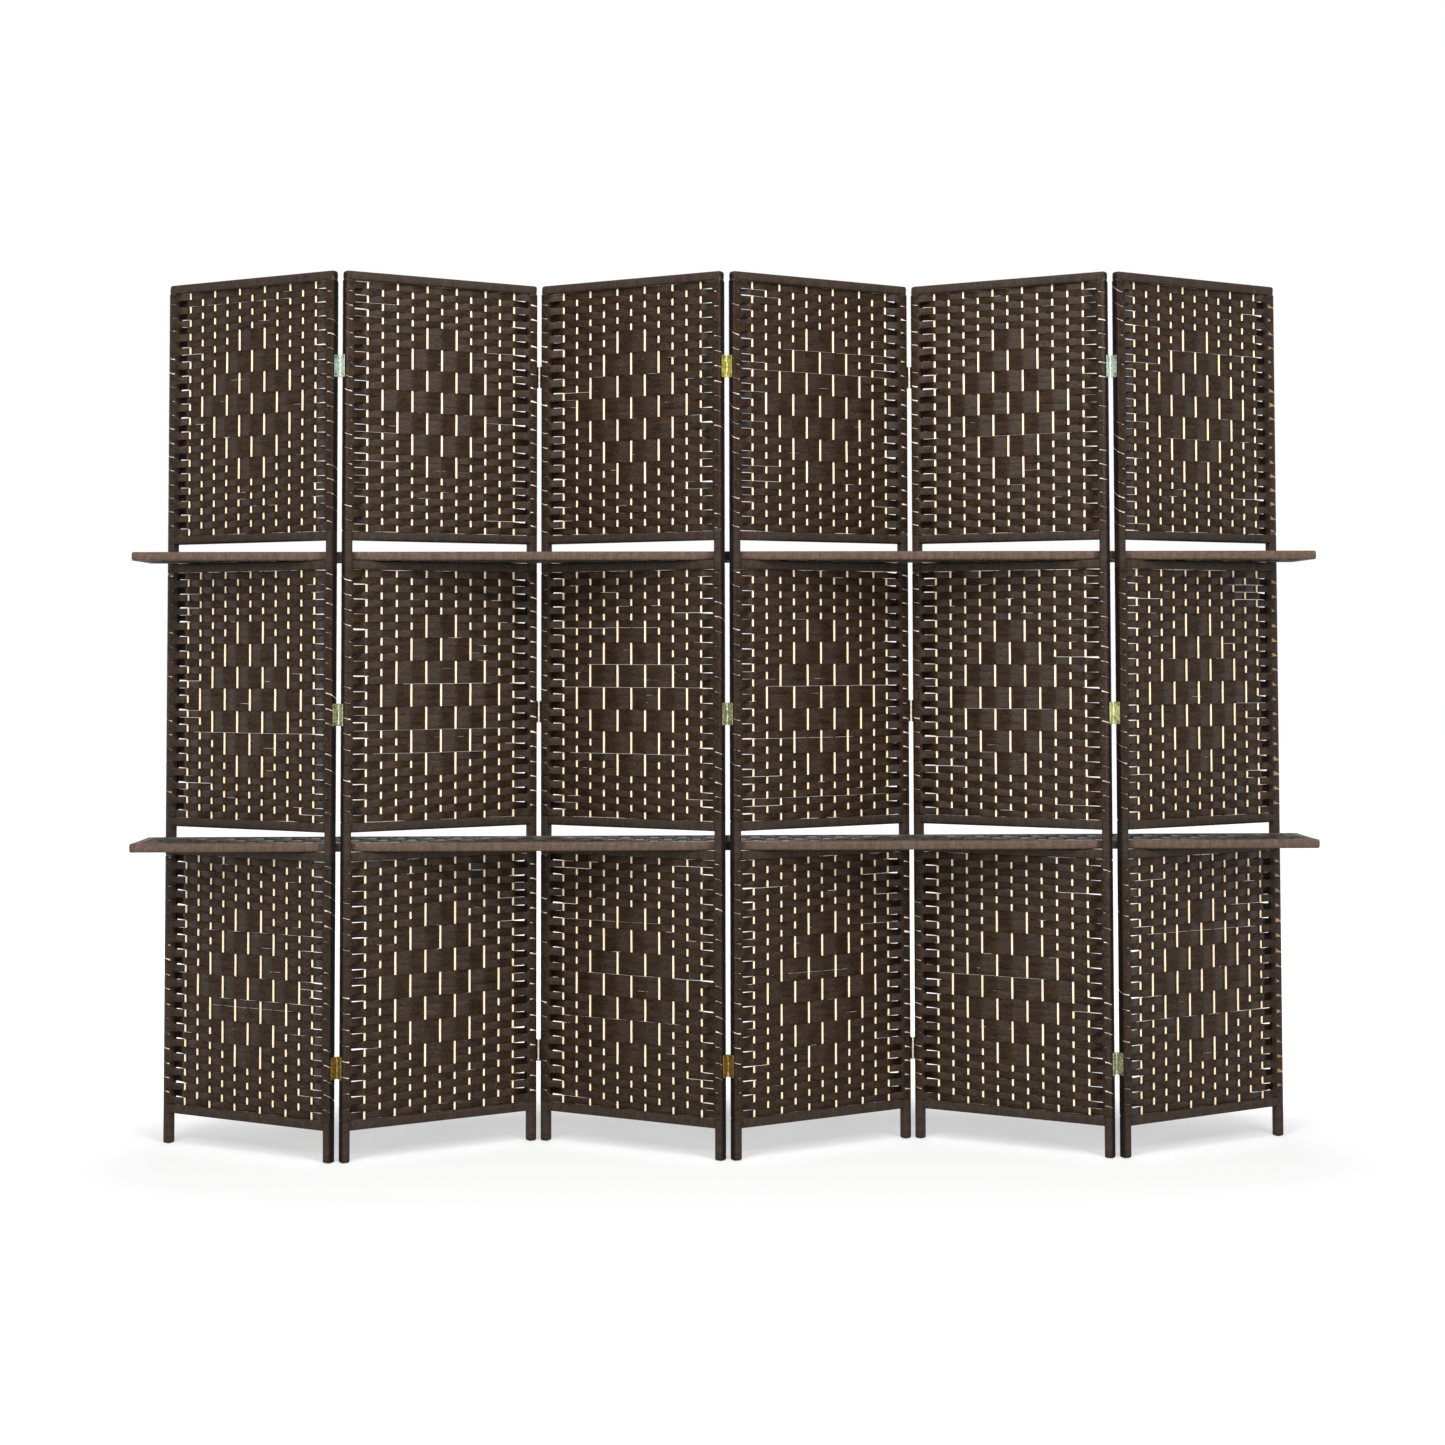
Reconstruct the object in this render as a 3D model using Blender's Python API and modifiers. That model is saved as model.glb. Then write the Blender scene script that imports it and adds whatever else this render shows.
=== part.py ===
"""Folding screen of six woven panels with two levels of slide-in shelf boards.

Run in Blender 4.5: blender --background --python part.py
Units are metres. +Z is up, +X runs along the screen from left to right, and
-Y is the front. The origin lies on the floor under the middle of the screen.

A panel is a cord-wrapped frame with three woven mats. Odd panels run from a
far hinge line on their left to a near hinge line on their right, even panels
the other way, so the screen stands in a zigzag. Each hinge line carries three
butt hinges: on a near line the barrels are at the back of the posts, on a far
line at the front. The shelf boards lie along the middle of the zigzag, in the
slots between two rails: behind the near posts and in front of the far ones.
"""

import math

import bpy

# Panels
PANEL_COUNT = 6
PANEL_HEIGHT = 1.800
HINGE_PITCH = 0.440            # from hinge axis to hinge axis, measured along the panel
FOLD_ANGLE = math.radians(30)  # turn of every panel from the line of the screen

# Frame poles, square in section with rounded edges
POLE_SIZE = 0.019
POLE_ROUNDING = 0.004
TOP_CORNER_RADIUS = 0.008
FOOT_CORNER_RADIUS = 0.0045

# Levels of the frame, from the floor up
FOOT_HEIGHT = 0.063
LOWER_FIELD_HEIGHT = 0.518
SLOT_HEIGHT = 0.040
MIDDLE_FIELD_HEIGHT = 0.5125

# Woven mats
STAKE_COUNT = 11
STAKE_WIDTH = 0.0046
STAKE_THICKNESS = 0.0024
STRAND_THICKNESS = 0.0016

# Shelf boards
SHELF_LENGTH = 1.209
SHELF_DEPTH = 0.180
SHELF_THICKNESS = 0.0175
SHELF_ROUNDING = 0.004
SHELF_BORDER = 0.018           # width of the wrapped border around the woven top
SHELF_RECESS = 0.0012          # how far the woven top lies below the border
SHELF_MEETING_GAP = 0.002      # between the two boards of one level

# Hinges
HINGE_HEIGHT = 0.045
HINGE_TOP_DISTANCE = 0.195     # from the top of the panel to the middle of the top hinge
HINGE_BOTTOM_DISTANCE = 0.188  # from the floor to the middle of the bottom hinge
LEAF_THICKNESS = 0.0010
LEAF_REACH = 0.0155            # how far a leaf covers the side of its post
BARREL_RADIUS = 0.0026
BORE_RADIUS = 0.0015
PIN_RADIUS = 0.0012
BARREL_CLEARANCE = 0.0004      # between a barrel and the faces of the posts beside it
KNUCKLE_COUNT = 3              # of a barrel, the lowest one on the leaf with the pin
KNUCKLE_GAP = 0.0004           # between neighbouring knuckles of one barrel
LEAF_GAP = 0.0004              # between the two leaves of a hinge when the panels stand in line

# Fit
SEAT_GAP = 0.0003              # between pieces that rest on or are fixed to each other

# Resolution of round shapes
ROUNDING_STEPS = 2
CORNER_STEPS = 2
BARREL_SIDES = 16
PIN_SIDES = 10
BORE_SIDES = 12
WELD_DISTANCE = 0.00001
SHARP_ANGLE = math.radians(35)  # edges of the hinges bent more than this stay sharp

# Values that follow from the ones above
HALF_POLE = POLE_SIZE / 2
POST_SPACE = 2 * (SEAT_GAP + LEAF_THICKNESS) + LEAF_GAP   # between the posts at a hinge line
PANEL_WIDTH = HINGE_PITCH - POST_SPACE
FIELD_WIDTH = PANEL_WIDTH - 2 * POLE_SIZE
AXIS_OFFSET = HALF_POLE + BARREL_RADIUS + BARREL_CLEARANCE  # hinge axis from the panel's mid-plane

BOTTOM_RAIL = FOOT_HEIGHT
LOWER_FIELD = BOTTOM_RAIL + POLE_SIZE
LOWER_SLOT = LOWER_FIELD + LOWER_FIELD_HEIGHT + POLE_SIZE
MIDDLE_FIELD = LOWER_SLOT + SLOT_HEIGHT + POLE_SIZE
UPPER_SLOT = MIDDLE_FIELD + MIDDLE_FIELD_HEIGHT + POLE_SIZE
UPPER_FIELD = UPPER_SLOT + SLOT_HEIGHT + POLE_SIZE
UPPER_FIELD_HEIGHT = PANEL_HEIGHT - POLE_SIZE - UPPER_FIELD

FIELDS = {
    "lower": (LOWER_FIELD, LOWER_FIELD_HEIGHT),
    "middle": (MIDDLE_FIELD, MIDDLE_FIELD_HEIGHT),
    "upper": (UPPER_FIELD, UPPER_FIELD_HEIGHT),
}
SLOTS = {"lower": LOWER_SLOT, "upper": UPPER_SLOT}

HINGE_TOP = PANEL_HEIGHT - HINGE_TOP_DISTANCE
HINGE_BOTTOM = HINGE_BOTTOM_DISTANCE
HINGE_LEVELS = {
    "top": HINGE_TOP,
    "middle": (HINGE_TOP + HINGE_BOTTOM) / 2,
    "bottom": HINGE_BOTTOM,
}

# Step from one hinge line to the next, along and across the screen
LINE_STEP = HINGE_PITCH * math.cos(FOLD_ANGLE) + 2 * AXIS_OFFSET * math.sin(FOLD_ANGLE)
LINE_DEPTH = HINGE_PITCH * math.sin(FOLD_ANGLE) - 2 * AXIS_OFFSET * math.cos(FOLD_ANGLE)


def clear_scene():
    """Remove every object of the opened file."""
    for obj in list(bpy.data.objects):
        bpy.data.objects.remove(obj, do_unlink=True)


def new_collection(name):
    """Make a collection under the scene's own one."""
    collection = bpy.data.collections.new(name)
    bpy.context.scene.collection.children.link(collection)
    return collection


def new_material(name, colour, roughness, metallic=0.0):
    """A Principled material with one colour, roughness and metallic value."""
    material = bpy.data.materials.new(name)
    material.use_nodes = True
    shader = material.node_tree.nodes["Principled BSDF"]
    shader.inputs["Base Color"].default_value = (*colour, 1.0)
    shader.inputs["Roughness"].default_value = roughness
    shader.inputs["Metallic"].default_value = metallic
    return material


def new_object(name, data, collection, material=None):
    """Put a mesh or curve into the scene under a name of its own."""
    obj = bpy.data.objects.new(name, data)
    collection.objects.link(obj)
    if material is not None and not data.materials:
        data.materials.append(material)
    return obj


def weld(obj):
    """Close the loose caps of a curve or a joined shape."""
    modifier = obj.modifiers.new("Weld", "WELD")
    modifier.merge_threshold = WELD_DISTANCE


def corner_arc(before, corner, after, radius):
    """Points that replace an outline's corner by an arc, or the corner itself."""
    if radius == 0:
        return [corner]
    to_before = ((before[0] - corner[0]), (before[1] - corner[1]))
    to_after = ((after[0] - corner[0]), (after[1] - corner[1]))
    unit_before = [value / math.hypot(*to_before) for value in to_before]
    unit_after = [value / math.hypot(*to_after) for value in to_after]
    points = []
    for step in range(CORNER_STEPS + 1):
        turn = math.pi / 2 * step / CORNER_STEPS
        away_before = radius * (1 - math.sin(turn))
        away_after = radius * (1 - math.cos(turn))
        points.append(tuple(
            corner[axis] + away_before * unit_before[axis] + away_after * unit_after[axis]
            for axis in (0, 1)))
    return points


def outline_with_corners(corners):
    """Outline through right-angled corners given as (x, y, radius)."""
    points = []
    for index, (x, y, radius) in enumerate(corners):
        before = corners[index - 1][:2]
        after = corners[(index + 1) % len(corners)][:2]
        points += corner_arc(before, (x, y), after, radius)
    return points


def flat_curve(name, outlines, half_thickness, rounding=0.0):
    """A 2D curve of closed outlines, filled, extruded and with rounded rims."""
    curve = bpy.data.curves.new(name, "CURVE")
    curve.dimensions = "2D"
    curve.fill_mode = "BOTH"
    curve.extrude = half_thickness - rounding
    curve.bevel_depth = rounding
    curve.bevel_resolution = ROUNDING_STEPS - 1
    curve.offset = -rounding
    for outline in outlines:
        spline = curve.splines.new("POLY")
        spline.points.add(len(outline) - 1)
        for point, (x, y) in zip(spline.points, outline):
            point.co = (x, y, 0, 1)
        spline.use_cyclic_u = True
    return curve


def solid_from_curve(name, outlines, half_thickness, rounding=0.0):
    """Mesh of a flat curve, with its caps welded to its rim."""
    curve = flat_curve(name, outlines, half_thickness, rounding)
    source = bpy.data.objects.new(name, curve)
    bpy.context.scene.collection.objects.link(source)
    weld(source)
    depsgraph = bpy.context.evaluated_depsgraph_get()
    mesh = bpy.data.meshes.new_from_object(source.evaluated_get(depsgraph))
    bpy.data.objects.remove(source, do_unlink=True)
    bpy.data.curves.remove(curve)
    mesh.name = name
    return mesh


def frame_outlines():
    """Front view of a frame: outer outline with two feet, and five openings."""
    side = PANEL_WIDTH / 2
    inner = side - POLE_SIZE
    outer = outline_with_corners([
        (-side, 0, FOOT_CORNER_RADIUS),
        (-inner, 0, FOOT_CORNER_RADIUS),
        (-inner, BOTTOM_RAIL, 0),
        (inner, BOTTOM_RAIL, 0),
        (inner, 0, FOOT_CORNER_RADIUS),
        (side, 0, FOOT_CORNER_RADIUS),
        (side, PANEL_HEIGHT, TOP_CORNER_RADIUS),
        (-side, PANEL_HEIGHT, TOP_CORNER_RADIUS),
    ])
    openings = list(FIELDS.values())
    openings += [(level, SLOT_HEIGHT) for level in SLOTS.values()]
    outlines = [outer]
    for level, height in openings:
        outlines.append([
            (-inner, level), (-inner, level + height), (inner, level + height), (inner, level)])
    return outlines


def mat_outline():
    """Plan of a mat: a strand that passes in front of one stake and behind the next.

    The strand is joined to each stake face to face. Its inner side lies on the
    stake's face, and its outer side one strand thickness further out.
    """
    half_width = FIELD_WIDTH / 2 - SEAT_GAP
    spacing = FIELD_WIDTH / (STAKE_COUNT + 1)
    half_stake = STAKE_WIDTH / 2
    inside = STAKE_THICKNESS / 2
    outside = inside + STRAND_THICKNESS
    front = [(-half_width, inside)]
    back = [(-half_width, -inside)]
    for stake in range(1, STAKE_COUNT + 1):
        x = -FIELD_WIDTH / 2 + stake * spacing
        over = [(x - half_stake, outside), (x + half_stake, outside)]
        under = [(x - half_stake, -inside), (x - half_stake, inside),
                 (x + half_stake, inside), (x + half_stake, -inside)]
        if stake % 2:
            front += over
            back += [(px, -py) for px, py in under]
        else:
            front += under
            back += [(px, -py) for px, py in over]
    front.append((half_width, inside))
    back.append((half_width, -inside))
    return front + back[::-1]


def cylinder(name, radius, sides, low, high, collection):
    """Upright cylinder on the axis of a hinge."""
    bpy.ops.mesh.primitive_cylinder_add(
        vertices=sides, radius=radius, depth=high - low, location=(0, 0, (low + high) / 2))
    return adopt(name, collection)


def box(name, low, high, collection):
    """Box between two corners."""
    bpy.ops.mesh.primitive_cube_add(size=1, location=[(a + b) / 2 for a, b in zip(low, high)])
    bpy.context.object.scale = [b - a for a, b in zip(low, high)]
    bpy.ops.object.transform_apply(location=True, rotation=False, scale=True)
    return adopt(name, collection)


def adopt(name, collection):
    """Name the object just added and move it to a collection."""
    obj = bpy.context.object
    obj.name = name
    for owner in list(obj.users_collection):
        owner.objects.unlink(obj)
    collection.objects.link(obj)
    return obj


def as_cutter(obj):
    """Keep a cutting or joining shape out of renders."""
    obj.hide_render = True
    obj.display_type = "WIRE"
    return obj


def combine(obj, other, operation):
    """Boolean of an object with another one."""
    modifier = obj.modifiers.new(operation.title(), "BOOLEAN")
    modifier.operation = operation
    modifier.solver = "EXACT"
    modifier.object = as_cutter(other)


def baked_mesh(obj, name):
    """Plain mesh of an object with its modifiers."""
    depsgraph = bpy.context.evaluated_depsgraph_get()
    mesh = bpy.data.meshes.new_from_object(obj.evaluated_get(depsgraph))
    mesh.name = name
    return mesh


def knuckle_spans():
    """Heights of the knuckles of a barrel, from the hinge's middle and from the bottom up."""
    step = (HINGE_HEIGHT + KNUCKLE_GAP) / KNUCKLE_COUNT
    starts = [-HINGE_HEIGHT / 2 + index * step for index in range(KNUCKLE_COUNT)]
    return [(start, start + step - KNUCKLE_GAP) for start in starts]


def leaf_mesh(name, with_pin, collection):
    """A hinge leaf with its hinge axis at the origin.

    The plate lies against the side of its post and reaches to -Y. The leaf with
    the pin is for the post at -X and has every second knuckle, from the lowest.
    The other one is for the post at +X and has the bored knuckles between them.
    """
    knuckles = knuckle_spans()
    bottom, top = knuckles[0], knuckles[-1]
    own = knuckles[0::2] if with_pin else knuckles[1::2]
    sides = sorted((-1 if with_pin else 1) * side for side in (
        POST_SPACE / 2 - SEAT_GAP, POST_SPACE / 2 - SEAT_GAP - LEAF_THICKNESS))
    plate_start = -BARREL_RADIUS - BARREL_CLEARANCE
    plate_end = -(AXIS_OFFSET - HALF_POLE) - LEAF_REACH
    wall_middle = -(BARREL_RADIUS + BORE_RADIUS) / 2
    leaf = box(name, (sides[0], plate_end, bottom[0]), (sides[1], plate_start, top[1]), collection)
    for low, high in own:
        tab = box(name + "_tab", (sides[0], plate_start - LEAF_THICKNESS, low),
                  (sides[1], wall_middle, high), collection)
        combine(leaf, tab, "UNION")
        knuckle = cylinder(name + "_knuckle", BARREL_RADIUS, BARREL_SIDES, low, high, collection)
        combine(leaf, knuckle, "UNION")
    if with_pin:
        pin = cylinder(name + "_pin", PIN_RADIUS, PIN_SIDES, bottom[1] - BARREL_RADIUS,
                       top[0] + BARREL_RADIUS, collection)
        combine(leaf, pin, "UNION")
    else:
        bore = cylinder(name + "_bore", BORE_RADIUS, BORE_SIDES, bottom[0], top[1], collection)
        combine(leaf, bore, "DIFFERENCE")
    as_cutter(leaf)
    mesh = baked_mesh(leaf, name)
    mesh.shade_smooth()
    mesh.set_sharp_from_angle(angle=SHARP_ANGLE)
    return mesh


def hinge_line(index):
    """Place of a hinge line, counted from the left end of the screen."""
    x = (index - PANEL_COUNT / 2) * LINE_STEP
    y = LINE_DEPTH / 2 if index % 2 == 0 else -LINE_DEPTH / 2
    return x, y


def panel_turn(panel):
    """Turn of a panel about +Z."""
    return -FOLD_ANGLE if panel % 2 else FOLD_ANGLE


def panel_axis(panel):
    """Hinge line that a panel turns on: the one nearer to the middle of the screen."""
    return panel if panel <= PANEL_COUNT // 2 else panel - 1


def make_panel(panel, frame, mats, materials, collection):
    """A frame and its three mats, under an empty on the panel's hinge axis."""
    line = panel_axis(panel)
    empty = bpy.data.objects.new("panel_%d_axis" % panel, None)
    collection.objects.link(empty)
    x, y = hinge_line(line)
    empty.location = (x, y, 0)
    empty.rotation_euler = (0, 0, panel_turn(panel))
    middle_x = HINGE_PITCH / 2 if line < panel else -HINGE_PITCH / 2
    middle_y = AXIS_OFFSET if line % 2 == 0 else -AXIS_OFFSET
    obj = new_object("panel_%d_frame" % panel, frame, collection, materials["frame"])
    obj.parent = empty
    obj.location = (middle_x, middle_y, 0)
    obj.rotation_euler = (math.pi / 2, 0, 0)
    for field, (level, height) in FIELDS.items():
        mat = new_object("panel_%d_weave_%s" % (panel, field), mats[field], collection,
                         materials["weave"])
        mat.parent = empty
        mat.location = (middle_x, middle_y, level + height / 2)


def make_hinges(line, leaves, materials, collection):
    """Three hinges between the panels on both sides of a hinge line."""
    x, y = hinge_line(line)
    near = line % 2 == 1
    for level, height in HINGE_LEVELS.items():
        for side, panel in (("left", line), ("right", line + 1)):
            has_pin = (side == "left") == near
            name = "hinge_%d_%s_leaf_%s" % (line, level, side)
            leaf = new_object(name, leaves["pin" if has_pin else "bored"], collection,
                              materials["hinge"])
            leaf.location = (x, y, height)
            leaf.rotation_euler = (0, 0, panel_turn(panel) + (0 if near else math.pi))


def shelf_mesh(collection, cutters):
    """A board with rounded edges and a woven field sunk into both faces."""
    half = (SHELF_LENGTH / 2, SHELF_DEPTH / 2, SHELF_THICKNESS / 2)
    board = box("shelf_blank", [-value for value in half], half, cutters)
    edges = board.modifiers.new("Rounded edges", "BEVEL")
    edges.width = SHELF_ROUNDING
    edges.segments = ROUNDING_STEPS
    reach = (half[0] - SHELF_BORDER, half[1] - SHELF_BORDER)
    for name, side in (("top", 1), ("bottom", -1)):
        floor = side * (half[2] - SHELF_RECESS)
        beyond = side * (half[2] + SHELF_ROUNDING)
        cutter = box("shelf_recess_" + name, (-reach[0], -reach[1], min(floor, beyond)),
                     (reach[0], reach[1], max(floor, beyond)), cutters)
        combine(board, cutter, "DIFFERENCE")
    as_cutter(board)
    return baked_mesh(board, "shelf")


def make_shelves(mesh, materials, collection):
    """Two boards on each level, resting on the rails below the slots."""
    for level, slot in SLOTS.items():
        for side, sign in (("left", -1), ("right", 1)):
            board = new_object("shelf_%s_%s" % (level, side), mesh, collection, materials["shelf"])
            board.location = (
                sign * (SHELF_LENGTH + SHELF_MEETING_GAP) / 2, 0,
                slot + SEAT_GAP + SHELF_THICKNESS / 2)


def main():
    """Build the whole screen."""
    clear_scene()
    screen = new_collection("folding_screen")
    cutters = new_collection("cutters")
    materials = {
        "frame": new_material("wrapped_cord", (0.045, 0.030, 0.022), 0.75),
        "weave": new_material("woven_fibre", (0.050, 0.038, 0.030), 0.70),
        "shelf": new_material("wrapped_board", (0.120, 0.075, 0.052), 0.70),
        "hinge": new_material("hinge_steel", (0.620, 0.560, 0.400), 0.35, 1.0),
    }
    frame = solid_from_curve("frame", frame_outlines(), HALF_POLE, POLE_ROUNDING)
    mats = {
        field: solid_from_curve("mat_" + field, [mat_outline()], height / 2 - SEAT_GAP)
        for field, (_, height) in FIELDS.items()}
    leaves = {
        "pin": leaf_mesh("leaf_with_pin", True, cutters),
        "bored": leaf_mesh("leaf_bored", False, cutters),
    }
    for panel in range(1, PANEL_COUNT + 1):
        make_panel(panel, frame, mats, materials, screen)
    for line in range(1, PANEL_COUNT):
        make_hinges(line, leaves, materials, screen)
    make_shelves(shelf_mesh(screen, cutters), materials, screen)


main()
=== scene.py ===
"""Looks of the folding screen with shelves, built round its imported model.

Lengths are metres: +X to the right along the screen, -Y the front, +Z up. A panel is made
standing in its own plane, x along the panel and -y its front, and then turned into place.

Poles are wound with fine paper cord. Each woven field is one long band of dark paper that
goes to and fro behind and in front of pale stakes, and round a post at the end of each row.
"""

import math
import random

import bmesh
import bpy
import numpy as np
from mathutils import Matrix, Vector


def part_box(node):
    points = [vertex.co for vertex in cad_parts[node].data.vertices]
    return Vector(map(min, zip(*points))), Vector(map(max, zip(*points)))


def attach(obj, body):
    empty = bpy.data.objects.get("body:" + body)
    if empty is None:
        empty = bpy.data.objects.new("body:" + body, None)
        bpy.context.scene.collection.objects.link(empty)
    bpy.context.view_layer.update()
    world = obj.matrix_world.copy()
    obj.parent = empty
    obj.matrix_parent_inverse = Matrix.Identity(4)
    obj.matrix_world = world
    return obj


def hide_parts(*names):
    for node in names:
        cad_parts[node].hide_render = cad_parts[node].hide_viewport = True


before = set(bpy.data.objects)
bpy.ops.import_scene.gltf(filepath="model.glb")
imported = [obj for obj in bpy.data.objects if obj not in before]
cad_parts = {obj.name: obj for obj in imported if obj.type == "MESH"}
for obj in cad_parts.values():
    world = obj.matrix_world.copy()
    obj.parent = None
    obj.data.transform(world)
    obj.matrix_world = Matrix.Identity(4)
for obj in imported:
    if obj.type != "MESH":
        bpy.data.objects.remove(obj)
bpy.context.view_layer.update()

# Screen
PANEL_COUNT = 6
PANEL_WIDTH = 0.437
FOLD_ANGLE = math.radians(30)
FIELDS = ("lower", "middle", "upper")
FIELD_CLEARANCE = 0.0003       # between the solid of a field and the rails beside it

# Poles and what is wound round them
POLE = 0.019
POLE_ROUNDING = 0.0044
POLE_GIRTH = 0.07              # about the length of a turn
SKIN = 0.0013                  # thickness of the paper wound round the wood
CORD_PITCH = 0.0030            # from turn to turn
CORD_RIDGE = 0.0002            # height of a turn over the dip beside it
RIDGE_VARIETY = 0.35           # how far the turns differ in height, as a share of a ridge
SLANT_FADE = 0.006             # length at the ends of a pole in which the turns come square
SIDE_SHADE_EDGE = 0.0046             # width of the edge in which painted shade darkens the outer side of a post
TOP_END_ROUNDING = 0.007
FOOT_END_ROUNDING = 0.004

# Wood of the posts
CORE_ROUNDING = 0.002
CORE_INSET = 0.0003            # how far the near-black wood of painted shade lies inside bare wood
BARE_END = 0.005               # from the edge of a field to the bare wood
POCKET_SHADE_DEPTH = 0.0025           # of the painted shade on bare wood, from the side towards the field

# Stakes
STAKE_COUNT = 11
STAKE_WIDTH = 0.0042
STAKE_THICKNESS = 0.0024
STAKE_ROUNDING = 0.0006
STAKE_WAVER = 0.0012
STAKE_POINTS = 0.04            # between points along a stake
STAKE_TENON = POLE / 4         # length of each end of a stake inside its rail
STICK_WAVER_SCALE = 9.0        # bends of a stick, to a metre
STICK_EDGE_SHADE_FADE = 6.0          # the higher, the narrower the painted shade at the edges of a stick

# Woven band
BAND_THICKNESS = 0.0014
BAND_SIDES = 10                # points round the section of the band
BAND_TILT = 0.00006            # the upper edge lies this much behind the middle of the band
BAND_FULLNESS = 0.3            # the lower, the flatter the faces of the band
EDGE_FULLNESS = 0.35           # the lower, the squarer its edges
EDGE_STRETCH = 1.052           # brings the outermost points of the section to its edges
BAND_HALF_HEIGHT = 0.0075      # about half a row
WEAVE_CLEARANCE = 0.0001       # between a band and what it is woven on
ROW_SHIFT = 0.00006            # neighbouring rows lie this much before and behind their place
ROW_OVERLAP = 0.0008           # of neighbouring rows
STRIP_ROWS = 2                 # rows of band laid end to end in the flat layout
STRIP_MARGIN = 0.02            # free edge of a strip there, as a share of its height
ROW_COUNTS = {                 # rows above and below the diamond, panel by panel
    "upper": ((6, 8), (6, 8), (6, 7), (6, 7), (6, 8), (6, 7)),
    "middle": ((7, 6), (6, 6), (7, 6), (7, 6), (7, 6), (6, 6)),
    "lower": ((7, 6), (6, 6), (7, 6), (8, 6), (8, 6), (6, 6)),
}
DIAMOND_SPREADS = (1, 2, 3, 4, 3, 2, 1)    # stakes from the middle one to the edge, block by block
BLOCK_ROWS = 3
DIAMOND_ROWS = BLOCK_ROWS * len(DIAMOND_SPREADS)
DIAMOND_ROW_SHARE = 1.04       # height of a row in the diamond against one above or below it
ROW_VARIETY = (0.97, 1.03)
ROW_WAVE_HEIGHT = (0.00008, 0.00022)
ROW_WAVE_RATE = (12, 60)       # radians to a metre

# Slits between rows, where light comes through
POST_SLIT_CHANCE = 0.22        # beside each post
POST_SLIT_CHANCE_IN_BLOCK = 0.10
POST_SLIT_STEPS = (1.0, 1.2, 1.3, 2.1, 3.0)    # lengths, from stake to stake
POST_SLIT_HEIGHT = (0.0003, 0.0007)
LONG_SLIT_CHANCE = 0.01
LONG_SLIT_CHANCE_AT_BLOCK = 0.14
LONG_SLIT_REACH = (0.3, 1)     # from the middle, as a share of half the field
LONG_SLIT_HEIGHT = (0.0002, 0.0004)
SHORT_SLIT_COUNTS = (0, 0, 0, 1, 2)
SHORT_SLIT_STEPS = (0.4, 1.2)
SHORT_SLIT_HEIGHT = (0.0001, 0.0005)
RAIL_SLIT_COUNT = (5, 9)       # short slits along a rail
RAIL_SLIT_STRETCH = 1.7        # which are this much longer
RAIL_SLIT_HEIGHT = (0.0005, 0.0012)
SLIT_END = 0.006               # length in which a slit closes at its ends

# How the band narrows towards the posts. The keys are the left and the right post
PINCH_REACH = {-1: 1.15, 1: 1.1}           # length, from stake to stake
PINCH_TAPER = {-1: 0.35, 1: 0.6}
PINCH_STRENGTHS = (0.4, 1.0, 1.0, 1.0)     # one is drawn at each end of a row
FRONT_PINCH = (0.02, 0.05)     # height lost beside a post, as a share of a row's height
BACK_PINCH = {-1: (0.11, 0.18), 1: (0.12, 0.20)}

# How the band goes round a post, from one row to the next
LOOP_COVER = 1.004             # half the height of the band there, against the height of a row
LOOP_EASE = 0.12               # how much later than evenly the band falls, at a quarter of its way
LOOP_GAPS = (0.0, 0.0, 0.0, 0.0007, 0.0011, 0.0016)    # to the loops above and below
NOTCH_DEPTHS = (0.0, 0.05, 0.10, 0.15, 0.22)   # height lost at a corner, against a row's height
NOTCH_LENGTHS = (0.5, 0.8, 1.1, 1.6)
NOTCH_WAY = 0.34               # share of the way round that a notch of length 1 takes
NOTCH_STEP = 0.35              # share of its depth that opens in its first third
LOOP_START = 0.0012            # from the inner side of the band to the first point of a loop
CORNER_NOTCH = {2: 0.10, 4: 0.10, 6: 0.45}     # more depth in front at the right post, by panel
FAN_HEIGHT = 1.03              # above this height rows climb towards the back, below it they fall
FAN_RATE = 0.2                 # by this much for each metre of height and each metre of depth

# The band's way through a gap: shares of its width, and of the change in depth
STAKE_TO_STAKE = ((0.0, 0.0), (0.13, 0.1), (0.5, 0.5), (0.87, 0.9), (1.0, 1.0))
POST_TO_STAKE = ((0.07, 0.02), (0.32, 0.16), (0.58, 0.46), (0.82, 0.84), (1.0, 1.0))
STAKE_TO_POST = ((0.0, 0.0), (0.18, 0.16), (0.42, 0.54), (0.68, 0.84), (0.93, 0.98))
STAKE_COVER = 0.0004           # the band lies flat this far beyond the sides of a stake

# Shelf boards
SHELF_BORDER = 0.018
SHELF_ROUNDING = 0.004
SHELF_END_ROUNDING = 0.003
SHELF_CORD_PITCH = 0.0024
SHELF_GAP = 0.0004             # between the two boards of a level
SHELF_END_SHADE = 0.009          # length at that gap in which the boards are darkened with painted shade
SHELF_SEED = 7
SHELF_ROWS = 9
SHELF_BLOCK_ROWS = 3           # rows of a board that pass over and under the same slats
SHELF_TOP_WAVER = (0.0, 0.0003)            # of the upper edge of a row
SHELF_BOTTOM_WAVER = (-0.0001, 0.0006)
SHELF_FIBRE_STEP = 3.0         # from row to row along the fibres, so that no two rows match
SLAT_STEP = 0.0295
SLAT_WIDTH = 0.0175
SLAT_THICKNESS = 0.0010
SLAT_DEPTH = 0.0023            # from the face of a board to the middle of its slats

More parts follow.
